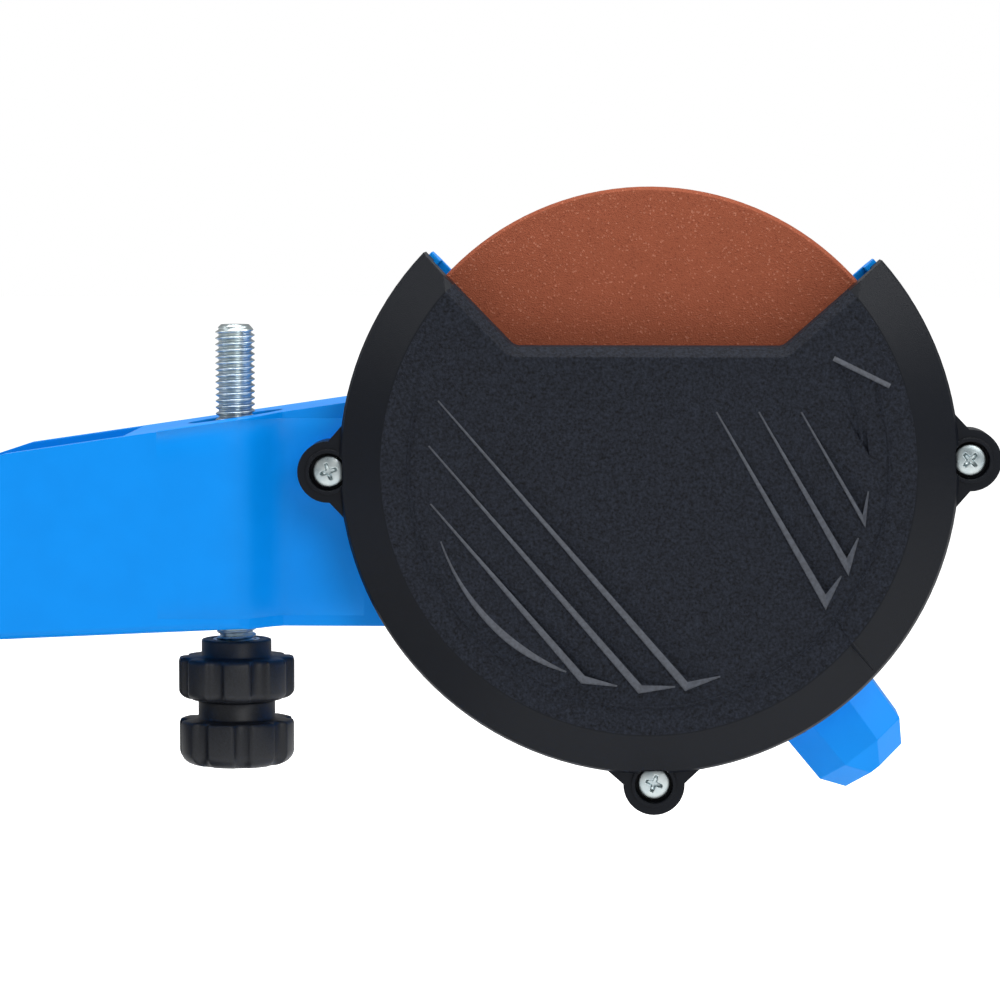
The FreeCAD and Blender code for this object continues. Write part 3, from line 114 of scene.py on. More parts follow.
def mouldedAbs():
    mat, shader, coords = startFinish("blueMouldedAbs", blueAbs)
    ripple = addNode(mat, "ShaderNodeTexNoise", {
        "Vector": coords, "Scale": 1000 / blueAbs["rippleMm"], "Detail": 2.0})
    grain = addNode(mat, "ShaderNodeTexNoise", {
        "Vector": coords, "Scale": 1000 / blueAbs["grainMm"], "Detail": 2.0})
    tint = blendColors(mat, ripple.outputs["Fac"], blueAbs["dark"], blueAbs["color"])
    mat.node_tree.links.new(tint.outputs["Color"], shader.inputs["Base Color"])
    skin = addNode(mat, "ShaderNodeMath", {0: grain.outputs["Fac"], 1: 0.12, 2: ripple.outputs["Fac"]},
                   operation="MULTIPLY_ADD")
    edge = setRelief(mat, shader, skin.outputs["Value"], 0.05, blueAbs["edgeMm"])
    setRoughness(mat, shader, ripple.outputs["Fac"], 0.30, 0.42)
    # the arm's front face flows into its thinner root in one soft curve, so its edges are rounder there
    place = addNode(mat, "ShaderNodeSeparateXYZ", {"Vector": coords})
    alongArm = addNode(mat, "ShaderNodeMath", {
        0: place.outputs["X"], 1: armStep["middleX"], 2: armStep["halfX"]}, operation="COMPARE")
    inHeight = addNode(mat, "ShaderNodeMath", {
        0: place.outputs["Z"], 1: armStep["middleZ"], 2: armStep["halfZ"]}, operation="COMPARE")
    inFront = addNode(mat, "ShaderNodeMath", {
        0: place.outputs["Y"], 1: armStep["frontY"]}, operation="LESS_THAN")
    onSide = addNode(mat, "ShaderNodeMath", {
        0: alongArm.outputs[0], 1: inHeight.outputs[0]}, operation="MULTIPLY")
    onStep = addNode(mat, "ShaderNodeMath", {
        0: onSide.outputs[0], 1: inFront.outputs[0]}, operation="MULTIPLY")
    radius = addNode(mat, "ShaderNodeMapRange", {
        "Value": onStep.outputs[0], "To Min": blueAbs["edgeMm"] * mm,
        "To Max": blueAbs["stepRoundMm"] * mm})
    mat.node_tree.links.new(radius.outputs["Result"], edge.inputs["Radius"])
    edge.samples = 8
    return mat


# glass-filled nylon: the panel carries a coarse spark texture, the bevel round it is satin
coverNylon = {"color": "#24272F", "panelLow": "#05060A", "panelHigh": "#262B36", "bevel": "#101319",
              "roughness": 0.46, "specular": 0.13, "panelRadiusMm": 51.5, "grainMm": 0.55,
              "fineMm": 0.18}


def sparkTexturedNylon():
    mat, shader, coords = startFinish("sparkTexturedNylon", coverNylon)
    offset = addNode(mat, "ShaderNodeVectorMath", {0: coords, 1: wheelCentre}, operation="SUBTRACT")
    flat = addNode(mat, "ShaderNodeVectorMath", {0: offset.outputs["Vector"], 1: (1.0, 0.0, 1.0)},
                   operation="MULTIPLY")
    radius = addNode(mat, "ShaderNodeVectorMath", {0: flat.outputs["Vector"]}, operation="LENGTH")
    onPanel = addNode(mat, "ShaderNodeMath", {
        0: radius.outputs["Value"], 1: coverNylon["panelRadiusMm"] * mm}, operation="LESS_THAN")
    grain = addNode(mat, "ShaderNodeTexNoise", {
        "Vector": coords, "Scale": 1000 / coverNylon["grainMm"], "Detail": 3.0, "Roughness": 0.7})
    fine = addNode(mat, "ShaderNodeTexNoise", {
        "Vector": coords, "Scale": 1000 / coverNylon["fineMm"], "Detail": 1.0})
    speck = blendColors(mat, grain.outputs["Fac"], coverNylon["panelLow"], coverNylon["panelHigh"],
                        0.30, 0.72)
    color = addNode(mat, "ShaderNodeMix", {
        0: onPanel.outputs["Value"], 6: hexColor(coverNylon["bevel"]), 7: speck.outputs["Color"]},
        data_type="RGBA")
    mat.node_tree.links.new(color.outputs[2], shader.inputs["Base Color"])
    height = addNode(mat, "ShaderNodeMix", {
        0: onPanel.outputs["Value"], 2: fine.outputs["Fac"], 3: grain.outputs["Fac"]})
    depth = addNode(mat, "ShaderNodeMapRange", {
        "Value": onPanel.outputs["Value"], "To Min": 0.12, "To Max": 1.0})
    scaled = addNode(mat, "ShaderNodeMath", {0: height.outputs[0], 1: depth.outputs["Result"]},
                     operation="MULTIPLY")
    setRelief(mat, shader, scaled.outputs["Value"], 0.30, 0.35)
    setRoughness(mat, shader, onPanel.outputs["Value"], 0.38, 0.60)
    return mat


# glass-filled nylon of the knobs, trigger and motor cap: finer, drier, a little lighter at wear
knobNylon = {"color": "#0F1116", "worn": "#191C23", "roughness": 0.5, "specular": 0.35, "grainMm": 0.3}


def fineNylon():
    mat, shader, coords = startFinish("fineGrainNylon", knobNylon)
    grain = addNode(mat, "ShaderNodeTexNoise", {
        "Vector": coords, "Scale": 1000 / knobNylon["grainMm"], "Detail": 3.0})
    tint = blendColors(mat, grain.outputs["Fac"], knobNylon["color"], knobNylon["worn"])
    mat.node_tree.links.new(tint.outputs["Color"], shader.inputs["Base Color"])
    setRelief(mat, shader, grain.outputs["Fac"], 0.03, 0.35)
    setRoughness(mat, shader, grain.outputs["Fac"], 0.38, 0.52)
    return mat


# vitrified corundum, fired and dressed: red-brown bond with pale and dark grains, quite matt
corundum = {"color": "#8F4E38", "dark": "#814330", "pale": "#A86A54", "roughness": 0.9,
            "specular": 0.1, "gritMm": 0.30, "cloudMm": 5.0}


def firedCorundum():
    mat, shader, coords = startFinish("firedCorundum", corundum)
    grit = addNode(mat, "ShaderNodeTexVoronoi", {"Vector": coords, "Scale": 1000 / corundum["gritMm"]})
    cloud = addNode(mat, "ShaderNodeTexNoise", {
        "Vector": coords, "Scale": 1000 / corundum["cloudMm"], "Detail": 5.0, "Roughness": 0.7})
    pick = addNode(mat, "ShaderNodeSeparateColor", {"Color": grit.outputs["Color"]})
    ramp = blendColors(mat, pick.outputs["Red"], corundum["dark"], corundum["pale"], 0.0, 1.0)
    for position, shade in ((0.15, corundum["color"]), (0.93, corundum["color"]), (0.985, corundum["pale"])):
        ramp.color_ramp.elements.new(position).color = hexColor(shade)
    clouding = addNode(mat, "ShaderNodeMapRange", {
        "Value": cloud.outputs["Fac"], "To Min": 0.90, "To Max": 1.10})
    color = addNode(mat, "ShaderNodeVectorMath", {
        0: ramp.outputs["Color"], 1: clouding.outputs["Result"]}, operation="MULTIPLY")
    mat.node_tree.links.new(color.outputs["Vector"], shader.inputs["Base Color"])
    setRelief(mat, shader, grit.outputs["Distance"], 0.10, 0.3)
    return mat


# bright zinc plate: a metal with a faint blue-green cast and cloudy passivation
zinc = {"color": "#CDD6D6", "cloud": "#AEBCC0", "roughness": 0.3, "metallic": 1.0, "cloudMm": 2.5}


def zincPlate(name="brightZincPlate", pitchMm=None):
    mat, shader, coords = startFinish(name, zinc)
    cloud = addNode(mat, "ShaderNodeTexNoise", {
        "Vector": coords, "Scale": 1000 / zinc["cloudMm"], "Detail": 4.0})
    tint = blendColors(mat, cloud.outputs["Fac"], zinc["cloud"], zinc["color"])
    mat.node_tree.links.new(tint.outputs["Color"], shader.inputs["Base Color"])
    setRoughness(mat, shader, cloud.outputs["Fac"], 0.20, 0.42)
    height = cloud.outputs["Fac"]
    if pitchMm:  # a rolled thread too fine to model, drawn as bands one pitch apart
        height = addNode(mat, "ShaderNodeTexWave", {
            "Vector": coords, "Scale": 0.1 * math.pi * 1000 / pitchMm}, bands_direction="Y",
            wave_profile="TRI").outputs["Fac"]
    setRelief(mat, shader, height, 0.35 if pitchMm else 0.03, 0.2)
    return mat


# ground steel: straight grinding marks along the piece, drawn 0.3 mm apart to show
groundLook = {"color": "#8E9093", "dark": "#6E7074", "roughness": 0.32, "metallic": 1.0, "markMm": 0.3}


def groundSteel():
    mat, shader, coords = startFinish("groundSteel", groundLook)
    stretch = addNode(mat, "ShaderNodeMapping", {"Vector": coords, "Scale": (1.0, 0.02, 1.0)})
    marks = addNode(mat, "ShaderNodeTexNoise", {
        "Vector": stretch.outputs["Vector"], "Scale": 1000 / groundLook["markMm"], "Detail": 2.0})
    tint = blendColors(mat, marks.outputs["Fac"], groundLook["dark"], groundLook["color"])
    mat.node_tree.links.new(tint.outputs["Color"], shader.inputs["Base Color"])
    setRelief(mat, shader, marks.outputs["Fac"], 0.03, 0.25)
    return mat


# electrical sheet: 0.5 mm laminations stacked along the shaft, drawn 1 mm apart to show
sheetLook = {"color": "#6D6E72", "dark": "#3F4146", "roughness": 0.5, "metallic": 0.8, "sheetMm": 1.0}
# enamelled copper wire: 0.6 mm turns side by side
wireLook = {"color": "#B4622F", "dark": "#6A2F16", "roughness": 0.32, "metallic": 0.9, "sheetMm": 0.6}


def stackedFinish(name, look):
    mat, shader, coords = startFinish(name, look)
    layers = addNode(mat, "ShaderNodeTexWave", {
        "Vector": coords, "Scale": 0.1 * math.pi * 1000 / look["sheetMm"], "Distortion": 0.3},
        bands_direction="Y")
    tint = blendColors(mat, layers.outputs["Fac"], look["dark"], look["color"], 0.05, 0.5)
    mat.node_tree.links.new(tint.outputs["Color"], shader.inputs["Base Color"])
    setRelief(mat, shader, layers.outputs["Fac"], 0.12, 0.2)
    return mat


# powder coat over cast aluminium: dark, satin, with the orange-peel of cured powder
coatLook = {"color": "#25282D", "dark": "#1F2226", "roughness": 0.5, "peelMm": 1.1}
# moulded rubber: dry black with a soft bloom
rubberLook = {"color": "#17181A", "dark": "#101113", "roughness": 0.8, "peelMm": 0.7}
# pressed carbon: dull grey-black with fine pores
carbonLook = {"color": "#2B2C2E", "dark": "#1B1C1D", "roughness": 0.65, "peelMm": 0.2}
# drawn brass: warm yellow metal, slightly tarnished
brassLook = {"color": "#D8B46A", "dark": "#A9823F", "roughness": 0.3, "metallic": 1.0, "peelMm": 1.5}
# stamped aluminium sheet, satin anodised
plateLook = {"color": "#D5D7D9", "dark": "#BFC2C5", "roughness": 0.38, "metallic": 0.9, "peelMm": 0.4}
# nylon of the louvre walls, a shade lighter than the panel: painted highlight where the walls face the light
# from above
louvrePaintedHighlightLook = {"color": "#3F444E", "dark": "#30343D", "roughness": 0.5, "peelMm": 0.6}
# printed black ink of the angle scale
inkLook = {"color": "#15171A", "dark": "#1E2024", "roughness": 0.6, "peelMm": 0.4}


def cloudyFinish(name, look, depth):
    mat, shader, coords = startFinish(name, look)
    peel = addNode(mat, "ShaderNodeTexNoise", {
        "Vector": coords, "Scale": 1000 / look["peelMm"], "Detail": 2.0})
    tint = blendColors(mat, peel.outputs["Fac"], look["dark"], look["color"])
    mat.node_tree.links.new(tint.outputs["Color"], shader.inputs["Base Color"])
    setRelief(mat, shader, peel.outputs["Fac"], depth, 0.5)
    return mat


finishes = {
    "blue_plastic": mouldedAbs(),
    "black_plastic": fineNylon(),
    "abrasive": firedCorundum(),
    "zinc_steel": zincPlate(),
    "rail_steel": groundSteel(),
    "core_steel": stackedFinish("stackedSheetSteel", sheetLook),
    "copper": stackedFinish("enamelledCopperWire", wireLook),
    "brass": cloudyFinish("drawnBrass", brassLook, 0.02),
    "carbon": cloudyFinish("pressedCarbon", carbonLook, 0.05),
    "rubber": cloudyFinish("mouldedRubber", rubberLook, 0.05),
    "cast_alloy": cloudyFinish("powderCoatedCasting", coatLook, 0.10),
    "scale_plate": cloudyFinish("anodisedSheet", plateLook, 0.02),
}
coverFinish = sparkTexturedNylon()
# the louvres' walls are painted a shade lighter than the panel, a painted highlight for walls that face the
# light from above
louvrePaintedHighlightFinish = cloudyFinish("louvreNylonPaintedHighlight", louvrePaintedHighlightLook, 0.01)
screwThreadFinish = zincPlate("rolledThreadZinc", 0.8)
scaleInk = cloudyFinish("printedInk", inkLook, 0.01)
for entry in frame["record"]["subparts"]:
    finish = finishes[entry["material_slot"]]
    if entry["node"] == "wheel_cover":
        finish = coverFinish
    if entry["node"] == "stop_screw":
        finish = screwThreadFinish
    mesh = frame["nodes"][entry["node"]].data
    mesh.materials.clear()
    mesh.materials.append(finish)
print("finishes set on", len(frame["nodes"]), "nodes")


def joinRings(mesh, first, second, flip=False):
    for k in range(len(first)):
        after = (k + 1) % len(first)
        corners = (first[k], second[k], second[after], first[after])
        if flip:
            corners = (first[k], first[after], second[after], second[k])
        mesh.faces.new(corners).smooth = True


def addPiece(name, mesh, finish, body):
    data = bpy.data.meshes.new(name)
    mesh.to_mesh(data)
    data.materials.append(finish)
    piece = bpy.data.objects.new(name, data)
    bpy.context.scene.collection.objects.link(piece)
    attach(piece, body)
    return piece


# the depth bolt's M8 thread: 1.25 mm pitch, a 60 degree form with flat crests
boltThread = {"outerMm": 3.95, "pitchMm": 1.25, "depthMm": 0.68, "crestPart": 0.16, "rootPart": 0.20,
              "stepsRound": 60, "stepsPerPitch": 10, "tipMm": 1.7, "tipNarrow": 0.30, "tipCurve": 1.6}


def threadRadius(phase, outer):
    crest, root = boltThread["crestPart"], boltThread["rootPart"]
    away = abs((phase % 1.0) - 0.5) * 2
    slope = (away - crest) / (1 - crest - root)
    return outer - boltThread["depthMm"] * mm * min(1.0, max(0.0, slope))


def threadedBolt():
    low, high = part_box("depth_bolt")
    x, y = (low[0] + high[0]) / 2, (low[1] + high[1]) / 2
    outer = boltThread["outerMm"] * mm
    bottom, top = low[2], high[2]
    pitch = boltThread["pitchMm"] * mm
    steps, step = boltThread["stepsRound"], pitch / boltThread["stepsPerPitch"]
    rows = int((top - bottom) / step) + 1
    mesh = bmesh.new()
    rings = []
    for row in range(rows + 1):
        z = min(bottom + row * step, top)
        fromTip = (top - z) / (boltThread["tipMm"] * mm)
        ring = []
        for turn in range(steps):
            angle = 2 * math.pi * turn / steps
            r = threadRadius(z / pitch - turn / steps, outer)
            if fromTip < 1:
                narrow = boltThread["tipNarrow"] * (1 - fromTip) ** boltThread["tipCurve"]
                r = min(r, outer * (1 - narrow))
            ring.append(mesh.verts.new((x + r * math.cos(angle), y + r * math.sin(angle), z)))
        rings.append(ring)
    for lower, upper in zip(rings, rings[1:]):
        joinRings(mesh, lower, upper, flip=True)
    mesh.faces.new(rings[-1])
    mesh.faces.new(list(reversed(rings[0])))
    piece = addPiece("threadedBolt", mesh, finishes["zinc_steel"], "depth_bolt")
    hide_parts("depth_bolt")


threadedBolt()
print("bolt threaded")

# moulded star knobs: eight broad lobes with narrow soft flutes; heights in mm from the knob's top
starKnobs = {
    "lobes": 8, "fluteMm": 1.4, "fluteWidth": 0.20, "stepsRound": 192, "boreFloorMm": 2.5,
    "lockNut": {"node": "lock_nut", "boreMm": 4.75, "neckMm": 7.0, "neckHighMm": 3.4, "starMm": 11.6,
                "topRoundMm": 0.8, "lowRoundMm": 3.0, "lowHighMm": 1.9, "phase": 0.86},
    "depthKnob": {"node": "depth_knob", "boreMm": 4.0, "neckMm": 7.7, "neckHighMm": 3.8, "starMm": 11.5,
                  "topRoundMm": 0.7, "lowRoundMm": 3.4, "lowHighMm": 2.9, "phase": 0.25},
}


def knobProfile(knob, high):
    # (radius, depth below the top, how deep the flutes cut here), outside from the bore down
    neck, star, deep = knob["neckMm"], knob["starMm"], knob["neckHighMm"]
    rows = [(knob["boreMm"], 0.0, 0), (neck - 0.4, 0.0, 0), (neck - 0.1, 0.1, 0), (neck, 0.4, 0),
            (neck, deep - 0.3, 0), (neck + 0.3, deep, 0), (star - knob["topRoundMm"] - 1.6, deep + 0.05, 0.2),
            (star - knob["topRoundMm"], deep + 0.15, 1), (star - 0.2, deep + knob["topRoundMm"] * 0.4, 1),
            (star, deep + knob["topRoundMm"] + 0.2, 1), (star, high - knob["lowHighMm"], 1)]
    for k in range(1, 9):
        turn = math.radians(90 * k / 8)
        rows.append((star - knob["lowRoundMm"] * (1 - math.cos(turn)),
                     high - knob["lowHighMm"] * (1 - math.sin(turn)), math.cos(turn) ** 0.6))
    return rows


def starKnob(name, knob, body):
    low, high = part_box(knob["node"])
    x, y, top = (low[0] + high[0]) / 2, (low[1] + high[1]) / 2, high[2]
    rows = knobProfile(knob, (top - low[2]) / mm)
    steps = starKnobs["stepsRound"]
    mesh = bmesh.new()
    rings = []
    for r, down, flute in rows:
        ring = []
        for k in range(steps):
            turn = k / steps
            lobe = abs((turn * starKnobs["lobes"] + knob["phase"]) % 1.0 - 0.5)  # 0 in the middle of a flute
            cut = max(0.0, 1 - (lobe / starKnobs["fluteWidth"]) ** 2) ** 0.5
            reach = (r - starKnobs["fluteMm"] * flute * cut) * mm
            angle = 2 * math.pi * turn
            spot = (x + reach * math.cos(angle), y + reach * math.sin(angle), top - down * mm)
            ring.append(mesh.verts.new(spot))
        rings.append(ring)
    for upper, lower in zip(rings, rings[1:]):
        joinRings(mesh, upper, lower)
    bottom = mesh.faces.new(rings[-1])
    boreFloor = low[2] + starKnobs["boreFloorMm"] * mm
    inner = [mesh.verts.new((v.co.x, v.co.y, boreFloor)) for v in rings[0]]
    joinRings(mesh, rings[0], inner, flip=True)
    bmesh.ops.recalc_face_normals(mesh, faces=mesh.faces)
    bottom.smooth = False
    piece = addPiece(name, mesh, finishes["black_plastic"], body)
    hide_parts(knob["node"])


starKnob("lockNutStar", starKnobs["lockNut"], "lock_nut")
starKnob("depthKnobStar", starKnobs["depthKnob"], "depth_knob")
print("knobs moulded")

# domed pan heads with a cross recess, which round off towards the ends of its arms
panHead = {"radiusMm": 3.05, "highMm": 1.8, "rimMm": 1.5, "armMm": 1.75, "armHalfMm": 0.42,
           "armFadeMm": 0.16, "depthMm": 0.85, "turnsDeg": (18, 45, 72), "stepsRound": 96, "stepsOut": 40,
           "spotsDeg": (181.2, 1.2, -88.8), "spotRadiusMm": 62.2, "seatMm": 1.9,
           "shankRadiusMm": 1.45, "shankMm": 14.0}


def recessDepth(x, y):
    best = 0.0
    for along, across in ((abs(x), abs(y)), (abs(y), abs(x))):
        end = max(0.0, 1 - (along / panHead["armMm"]) ** 4)
        half = panHead["armHalfMm"] * (1.15 - 0.35 * along / panHead["armMm"])
        side = min(1.0, max(0.0, (half - across) / panHead["armFadeMm"]))
        best = max(best, end * side)
    return panHead["depthMm"] * best


def panHeads():
    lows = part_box("cover_screws")
    steps = panHead["stepsRound"]
    mesh = bmesh.new()
    for spotDeg, turn in zip(panHead["spotsDeg"], panHead["turnsDeg"]):
        angle = math.radians(spotDeg)
        cx = wheelCentre[0] + panHead["spotRadiusMm"] * mm * math.cos(angle)
        cz = wheelCentre[2] + panHead["spotRadiusMm"] * mm * math.sin(angle)
        seat = lows[0][1] + panHead["seatMm"] * mm
        rings = []
        for i in range(panHead["stepsOut"] + 1):
            r = panHead["radiusMm"] * i / panHead["stepsOut"]
            dome = panHead["rimMm"] + (panHead["highMm"] - panHead["rimMm"]) * math.cos(
                math.pi / 2 * (i / panHead["stepsOut"]) ** 1.5) ** 0.7
            ring = []
            for k in range(steps):
                a = 2 * math.pi * k / steps
                t = a - math.radians(turn)
                high = dome - recessDepth(r * math.cos(t), r * math.sin(t))
                ring.append(mesh.verts.new((
                    cx + r * mm * math.cos(a), seat - high * mm, cz + r * mm * math.sin(a))))
            rings.append(ring)
        rings.append([mesh.verts.new((v.co.x, seat, v.co.z)) for v in rings[-1]])
        for inner, outer in zip(rings, rings[1:]):
            joinRings(mesh, inner, outer, flip=True)
        shank = [rings[-1]]
        shankRadius = panHead["shankRadiusMm"]
        for y in (seat, seat + panHead["shankMm"] * mm):
            shank.append([mesh.verts.new((cx + shankRadius * mm * math.cos(2 * math.pi * k / steps), y,
                                          cz + shankRadius * mm * math.sin(2 * math.pi * k / steps)))
                          for k in range(steps)])
        for inner, outer in zip(shank, shank[1:]):
            joinRings(mesh, inner, outer, flip=True)
        mesh.faces.new(shank[-1])
    bmesh.ops.remove_doubles(mesh, verts=mesh.verts, dist=1e-7)
    bmesh.ops.recalc_face_normals(mesh, faces=mesh.faces)
    piece = addPiece("panHeadScrews", mesh, finishes["zinc_steel"], "head")
    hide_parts("cover_screws")


panHeads()
print("cover screws cut")

# fine raised lines on the cover's panel, x and z in mm from the wheel's centre;
# a line's section is a list of (share of its half width, mm behind the panel's face)
reliefLines = {
    "halfWidthMm": 0.32,
    "faceMm": -14.0,
    "endTaper": 0.25,
    "section": ((-1.6, 0.25), (-0.4, -0.22), (0.4, -0.22), (1.6, 0.25)),
    "ring": {"radiusMm": 46.2, "fromDeg": 20, "toDeg": -196},
    "innerArc": {"radiusMm": 41.3, "fromDeg": 29, "toDeg": 7},
    "mark": [(36.4, -29.0), (39.0, -33.2), (43.4, -38.7)],
}


def arcPoints(arc, steps=90):
    angles = [math.radians(arc["fromDeg"] + (arc["toDeg"] - arc["fromDeg"]) * i / steps)
              for i in range(steps + 1)]
    return [(arc["radiusMm"] * math.cos(a), arc["radiusMm"] * math.sin(a)) for a in angles]


def reliefLine(name, points):
    half = reliefLines["halfWidthMm"]
    mesh = bmesh.new()
    rows = []
    for i, (x, z) in enumerate(points):
        x0, z0 = points[max(i - 1, 0)]
        x1, z1 = points[min(i + 1, len(points) - 1)]
        along = Vector((x1 - x0, 0.0, z1 - z0)).normalized()
        side = Vector((-along.z, 0.0, along.x))
        taper = reliefLines["endTaper"] if i in (0, len(points) - 1) else 1.0
        row = []
        for across, behind in reliefLines["section"]:
            spot = Vector((x, reliefLines["faceMm"] + behind, z)) + side * across * half * taper
            row.append(mesh.verts.new(Vector(wheelCentre) + spot * mm))
        rows.append(row)
    for a, b in zip(rows, rows[1:]):
        for k in range(3):
            mesh.faces.new((a[k], a[k + 1], b[k + 1], b[k]))
    bmesh.ops.recalc_face_normals(mesh, faces=mesh.faces)
    addPiece(name, mesh, coverFinish, "head")


reliefLine("panelRing", arcPoints(reliefLines["ring"]))
reliefLine("panelInnerArc", arcPoints(reliefLines["innerArc"], 30))
reliefLine("panelMark", reliefLines["mark"])

# louvre steps: sloping bands that widen downwards and catch the light from above
louvres = {
    "ringMm": 42.4, "wideMm": 0.95, "thinMm": 0.14, "proudPerWidth": 0.5, "mitreLeast": 0.35,
    "footMm": -14.02, "backMm": -13.4, "footReach": -0.45, "footExtraMm": -0.1,
    "left": {"slopeDeg": 48.8, "distances": (-21.8, -28.9, -36.0), "returnDeg": 9.0},
    "right": {"slopeDeg": 59.7, "distances": (16.8, 23.8, 30.8), "returnDeg": 7.5, "topMm": 11.0},
    "crescent": {"radiusMm": 42.3, "fromDeg": 199.5, "toDeg": 248.3, "steps": 40, "swellMm": 0.75,
                 "swellSkew": 1.6},
    "slash": {"points": [(35.4, 21.4), (46.2, 16.1)], "out": (-0.44, -0.90), "wideMm": 0.6},
}


def bandPiece(name, rows):
    # rows of (x, z, outward x, outward z, width): a slope up to the outer edge, then a drop behind it
    mesh = bmesh.new()
    strips = []
    foot = louvres["footMm"]
    for x, z, ox, oz, width in rows:
        proud = width * louvres["proudPerWidth"]
        inside = louvres["footReach"] * width + louvres["footExtraMm"]
        strip = []
        for reach, y in ((inside, foot), (width, foot - proud), (width, louvres["backMm"])):
            spot = Vector((x + ox * reach, y, z + oz * reach))
            strip.append(mesh.verts.new(Vector(wheelCentre) + spot * mm))
        strips.append(strip)
    for a, b in zip(strips, strips[1:]):
        for k in range(2):
            mesh.faces.new((a[k], a[k + 1], b[k + 1], b[k]))
    bmesh.ops.recalc_face_normals(mesh, faces=mesh.faces)
    if sum(face.normal.y for face in mesh.faces) > 0:
        bmesh.ops.reverse_faces(mesh, faces=mesh.faces)
    # the bands take the lighter louvre nylon, a painted highlight on top of the light their slopes catch
    addPiece(name, mesh, louvrePaintedHighlightFinish, "head")


def louvreSet(side, lines):
    slope = math.radians(lines["slopeDeg"])
    nx, nz = math.sin(slope), math.cos(slope)
    down = Vector((-nx, -nz))
    ring, wide, thin = louvres["ringMm"], louvres["wideMm"], louvres["thinMm"]
    for number, distance in enumerate(lines["distances"]):
        half = math.sqrt(ring ** 2 - distance ** 2)
        start = Vector((nx * distance - half * nz, nz * distance + half * nx))
        end = Vector((nx * distance + half * nz, nz * distance - half * nx))
        if "topMm" in lines:
            start = end + (start - end) * (lines["topMm"] - end.y) / (start.y - end.y)
        turn = math.atan2(end.y, end.x) + math.radians(lines["returnDeg"])
        back = Vector((ring * math.cos(turn), ring * math.sin(turn)))
        out = back.normalized()
        mitre = (down + out) / max(louvres["mitreLeast"], 1 + down.dot(out))
        bandPiece(f"louvre{side}{number}", [
            (start.x, start.y, -nx, -nz, thin), (end.x, end.y, mitre.x, mitre.y, wide),
            (back.x, back.y, out.x, out.y, thin)])


louvreSet("Left", louvres["left"])
louvreSet("Right", louvres["right"])
crescent, slash = louvres["crescent"], louvres["slash"]
crescentRows = []
for i, (x, z) in enumerate(arcPoints(crescent, crescent["steps"])):
    swell = math.sin(math.pi * (i / crescent["steps"]) ** crescent["swellSkew"])
    crescentRows.append((x, z, x / crescent["radiusMm"], z / crescent["radiusMm"],
                         louvres["thinMm"] + crescent["swellMm"] * swell))
bandPiece("louvreCrescent", crescentRows)
bandPiece("panelSlash", [(x, z, *slash["out"], slash["wideMm"]) for x, z in slash["points"]])
print("cover relief drawn")

# the vice's angle scale: ticks every 5 degrees and numbers every 10, as on any protractor
angleScale = {"centre": (-0.140, -0.015), "firstDeg": -35, "lastDeg": 35, "stepDeg": 5,
              "tickInMm": 40.2, "longMm": 2.2, "shortMm": 1.2, "tickWideMm": 0.3,
              "numberRadiusMm": 43.3, "numberMm": 1.9, "inkMm": 0.03}


def scaleMarks():
    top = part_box("angle_scale")[1][2]
    cx, cy = angleScale["centre"]
    mesh = bmesh.new()
    for degrees in range(angleScale["firstDeg"], angleScale["lastDeg"] + 1, angleScale["stepDeg"]):
        long = degrees % 10 == 0
        angle = math.radians(180 + degrees)
        out = Vector((math.cos(angle), math.sin(angle), 0.0))
        side = Vector((-out.y, out.x, 0.0)) * angleScale["tickWideMm"] / 2
        start = angleScale["tickInMm"]
        end = start + angleScale["longMm" if long else "shortMm"]
        corners = [out * start - side, out * end - side, out * end + side, out * start + side]
        base = Vector((cx, cy, top + angleScale["inkMm"] * mm))
        mesh.faces.new([mesh.verts.new(base + corner * mm) for corner in corners])
        if long:
            text = bpy.data.curves.new("scaleNumber", "FONT")
            text.body = str(abs(degrees))
            text.size = angleScale["numberMm"] * mm
            text.align_x = "CENTER"
            text.align_y = "CENTER"
            number = bpy.data.objects.new(f"scaleNumber{degrees + 90}", text)
            bpy.context.scene.collection.objects.link(number)
            number.location = base + out * angleScale["numberRadiusMm"] * mm
            number.rotation_euler = (0.0, 0.0, angle + math.pi / 2)
            text.materials.append(scaleInk)
            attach(number, "base")
    addPiece("scaleTicks", mesh, scaleInk, "base")


scaleMarks()
print("angle scale printed")

studio = {"lensMm": 144.0, "sensorMm": 36.0, "cameraAt": (0.182, -0.795, 0.206),
          "cameraTo": (0.151, -0.015, 0.1428), "world": 0.36,
          "floorColor": "#F4F4F4", "floorGlow": 0.8, "floorHalf": 6.0, "floorZ": -0.0002}
lamps = {
    "topSoftbox": {"at": (0.05, -0.10, 1.25), "to": (0.12, 0.0, 0.10), "size": 0.9, "power": 13.0},
    "frontSoftbox": {"at": (0.70, -1.30, 0.85), "to": (0.12, 0.0, 0.12), "size": 0.8, "power": 7.0},
    "leftSoftbox": {"at": (-0.95, -0.20, 0.95), "to": (0.10, 0.0, 0.12), "size": 0.7, "power": 4.0},
    "rightSoftbox": {"at": (1.20, -0.15, 1.00), "to": (0.15, 0.0, 0.12), "size": 0.8, "power": 8.0},
}


def aim(thing, target):
    way = Vector(target) - Vector(thing.location)
    thing.rotation_euler = way.to_track_quat("-Z", "Y").to_euler()


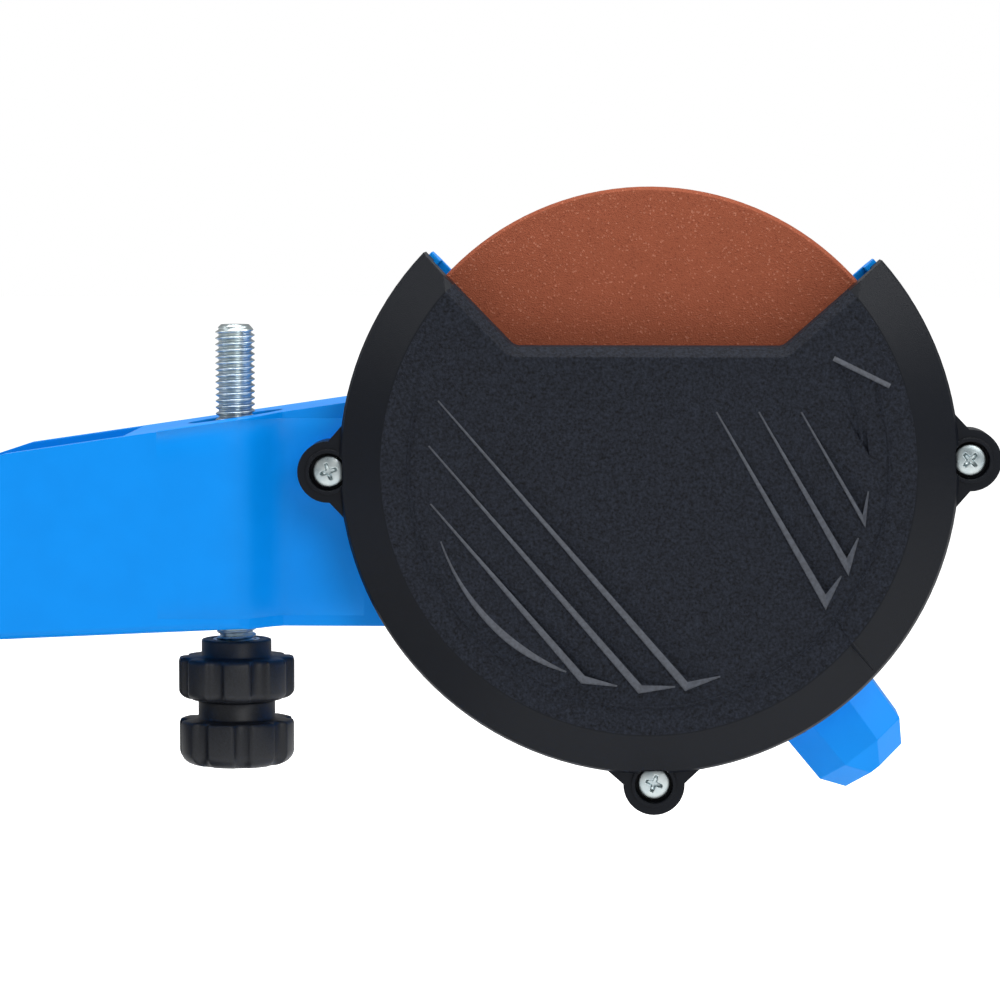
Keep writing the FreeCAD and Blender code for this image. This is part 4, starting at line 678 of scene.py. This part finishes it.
def buildStudio():
    scene = bpy.context.scene
    camera = bpy.data.objects.new("camera", bpy.data.cameras.new("camera"))
    scene.collection.objects.link(camera)
    camera.data.lens = studio["lensMm"]
    camera.data.sensor_width = studio["sensorMm"]
    camera.data.clip_start = 0.01
    camera.location = studio["cameraAt"]
    aim(camera, studio["cameraTo"])
    scene.camera = camera
    for name, lamp in lamps.items():
        light = bpy.data.objects.new(name, bpy.data.lights.new(name, "AREA"))
        scene.collection.objects.link(light)
        light.data.shape = "DISK"
        light.data.size = lamp["size"]
        light.data.energy = lamp["power"]
        light.location = lamp["at"]
        aim(light, lamp["to"])
    world = bpy.data.worlds.new("studioWorld")
    world.use_nodes = True
    scene.world = world
    back = world.node_tree.nodes["Background"]
    back.inputs["Color"].default_value = (1.0, 1.0, 1.0, 1.0)
    rays = addNode(world, "ShaderNodeLightPath")
    seen = addNode(world, "ShaderNodeMath", {
        0: rays.outputs["Is Camera Ray"], 1: rays.outputs["Is Transmission Ray"]}, operation="MAXIMUM")
    level = addNode(world, "ShaderNodeMapRange", {
        "Value": seen.outputs["Value"], "To Min": studio["world"], "To Max": 1.0})
    world.node_tree.links.new(level.outputs["Result"], back.inputs["Strength"])
    scene.view_settings.view_transform = "Standard"


def buildFloor():
    mesh = bmesh.new()
    bmesh.ops.create_grid(mesh, x_segments=1, y_segments=1, size=studio["floorHalf"])
    data = bpy.data.meshes.new("floor")
    mesh.to_mesh(data)
    floor = bpy.data.objects.new("floor", data)
    bpy.context.scene.collection.objects.link(floor)
    floor.location = (0.0, 0.0, studio["floorZ"])
    paint = bpy.data.materials.new("paleFloorPaint")
    paint.use_nodes = True
    shader = paint.node_tree.nodes["Principled BSDF"]
    shader.inputs["Base Color"].default_value = hexColor(studio["floorColor"])
    shader.inputs["Roughness"].default_value = 0.9
    shader.inputs["Emission Color"].default_value = (1.0, 1.0, 1.0, 1.0)
    rays = addNode(paint, "ShaderNodeLightPath")
    glow = addNode(paint, "ShaderNodeMath", {
        0: rays.outputs["Is Camera Ray"], 1: studio["floorGlow"]}, operation="MULTIPLY")
    paint.node_tree.links.new(glow.outputs["Value"], shader.inputs["Emission Strength"])
    data.materials.append(paint)


buildStudio()
buildFloor()
print("studio ready")
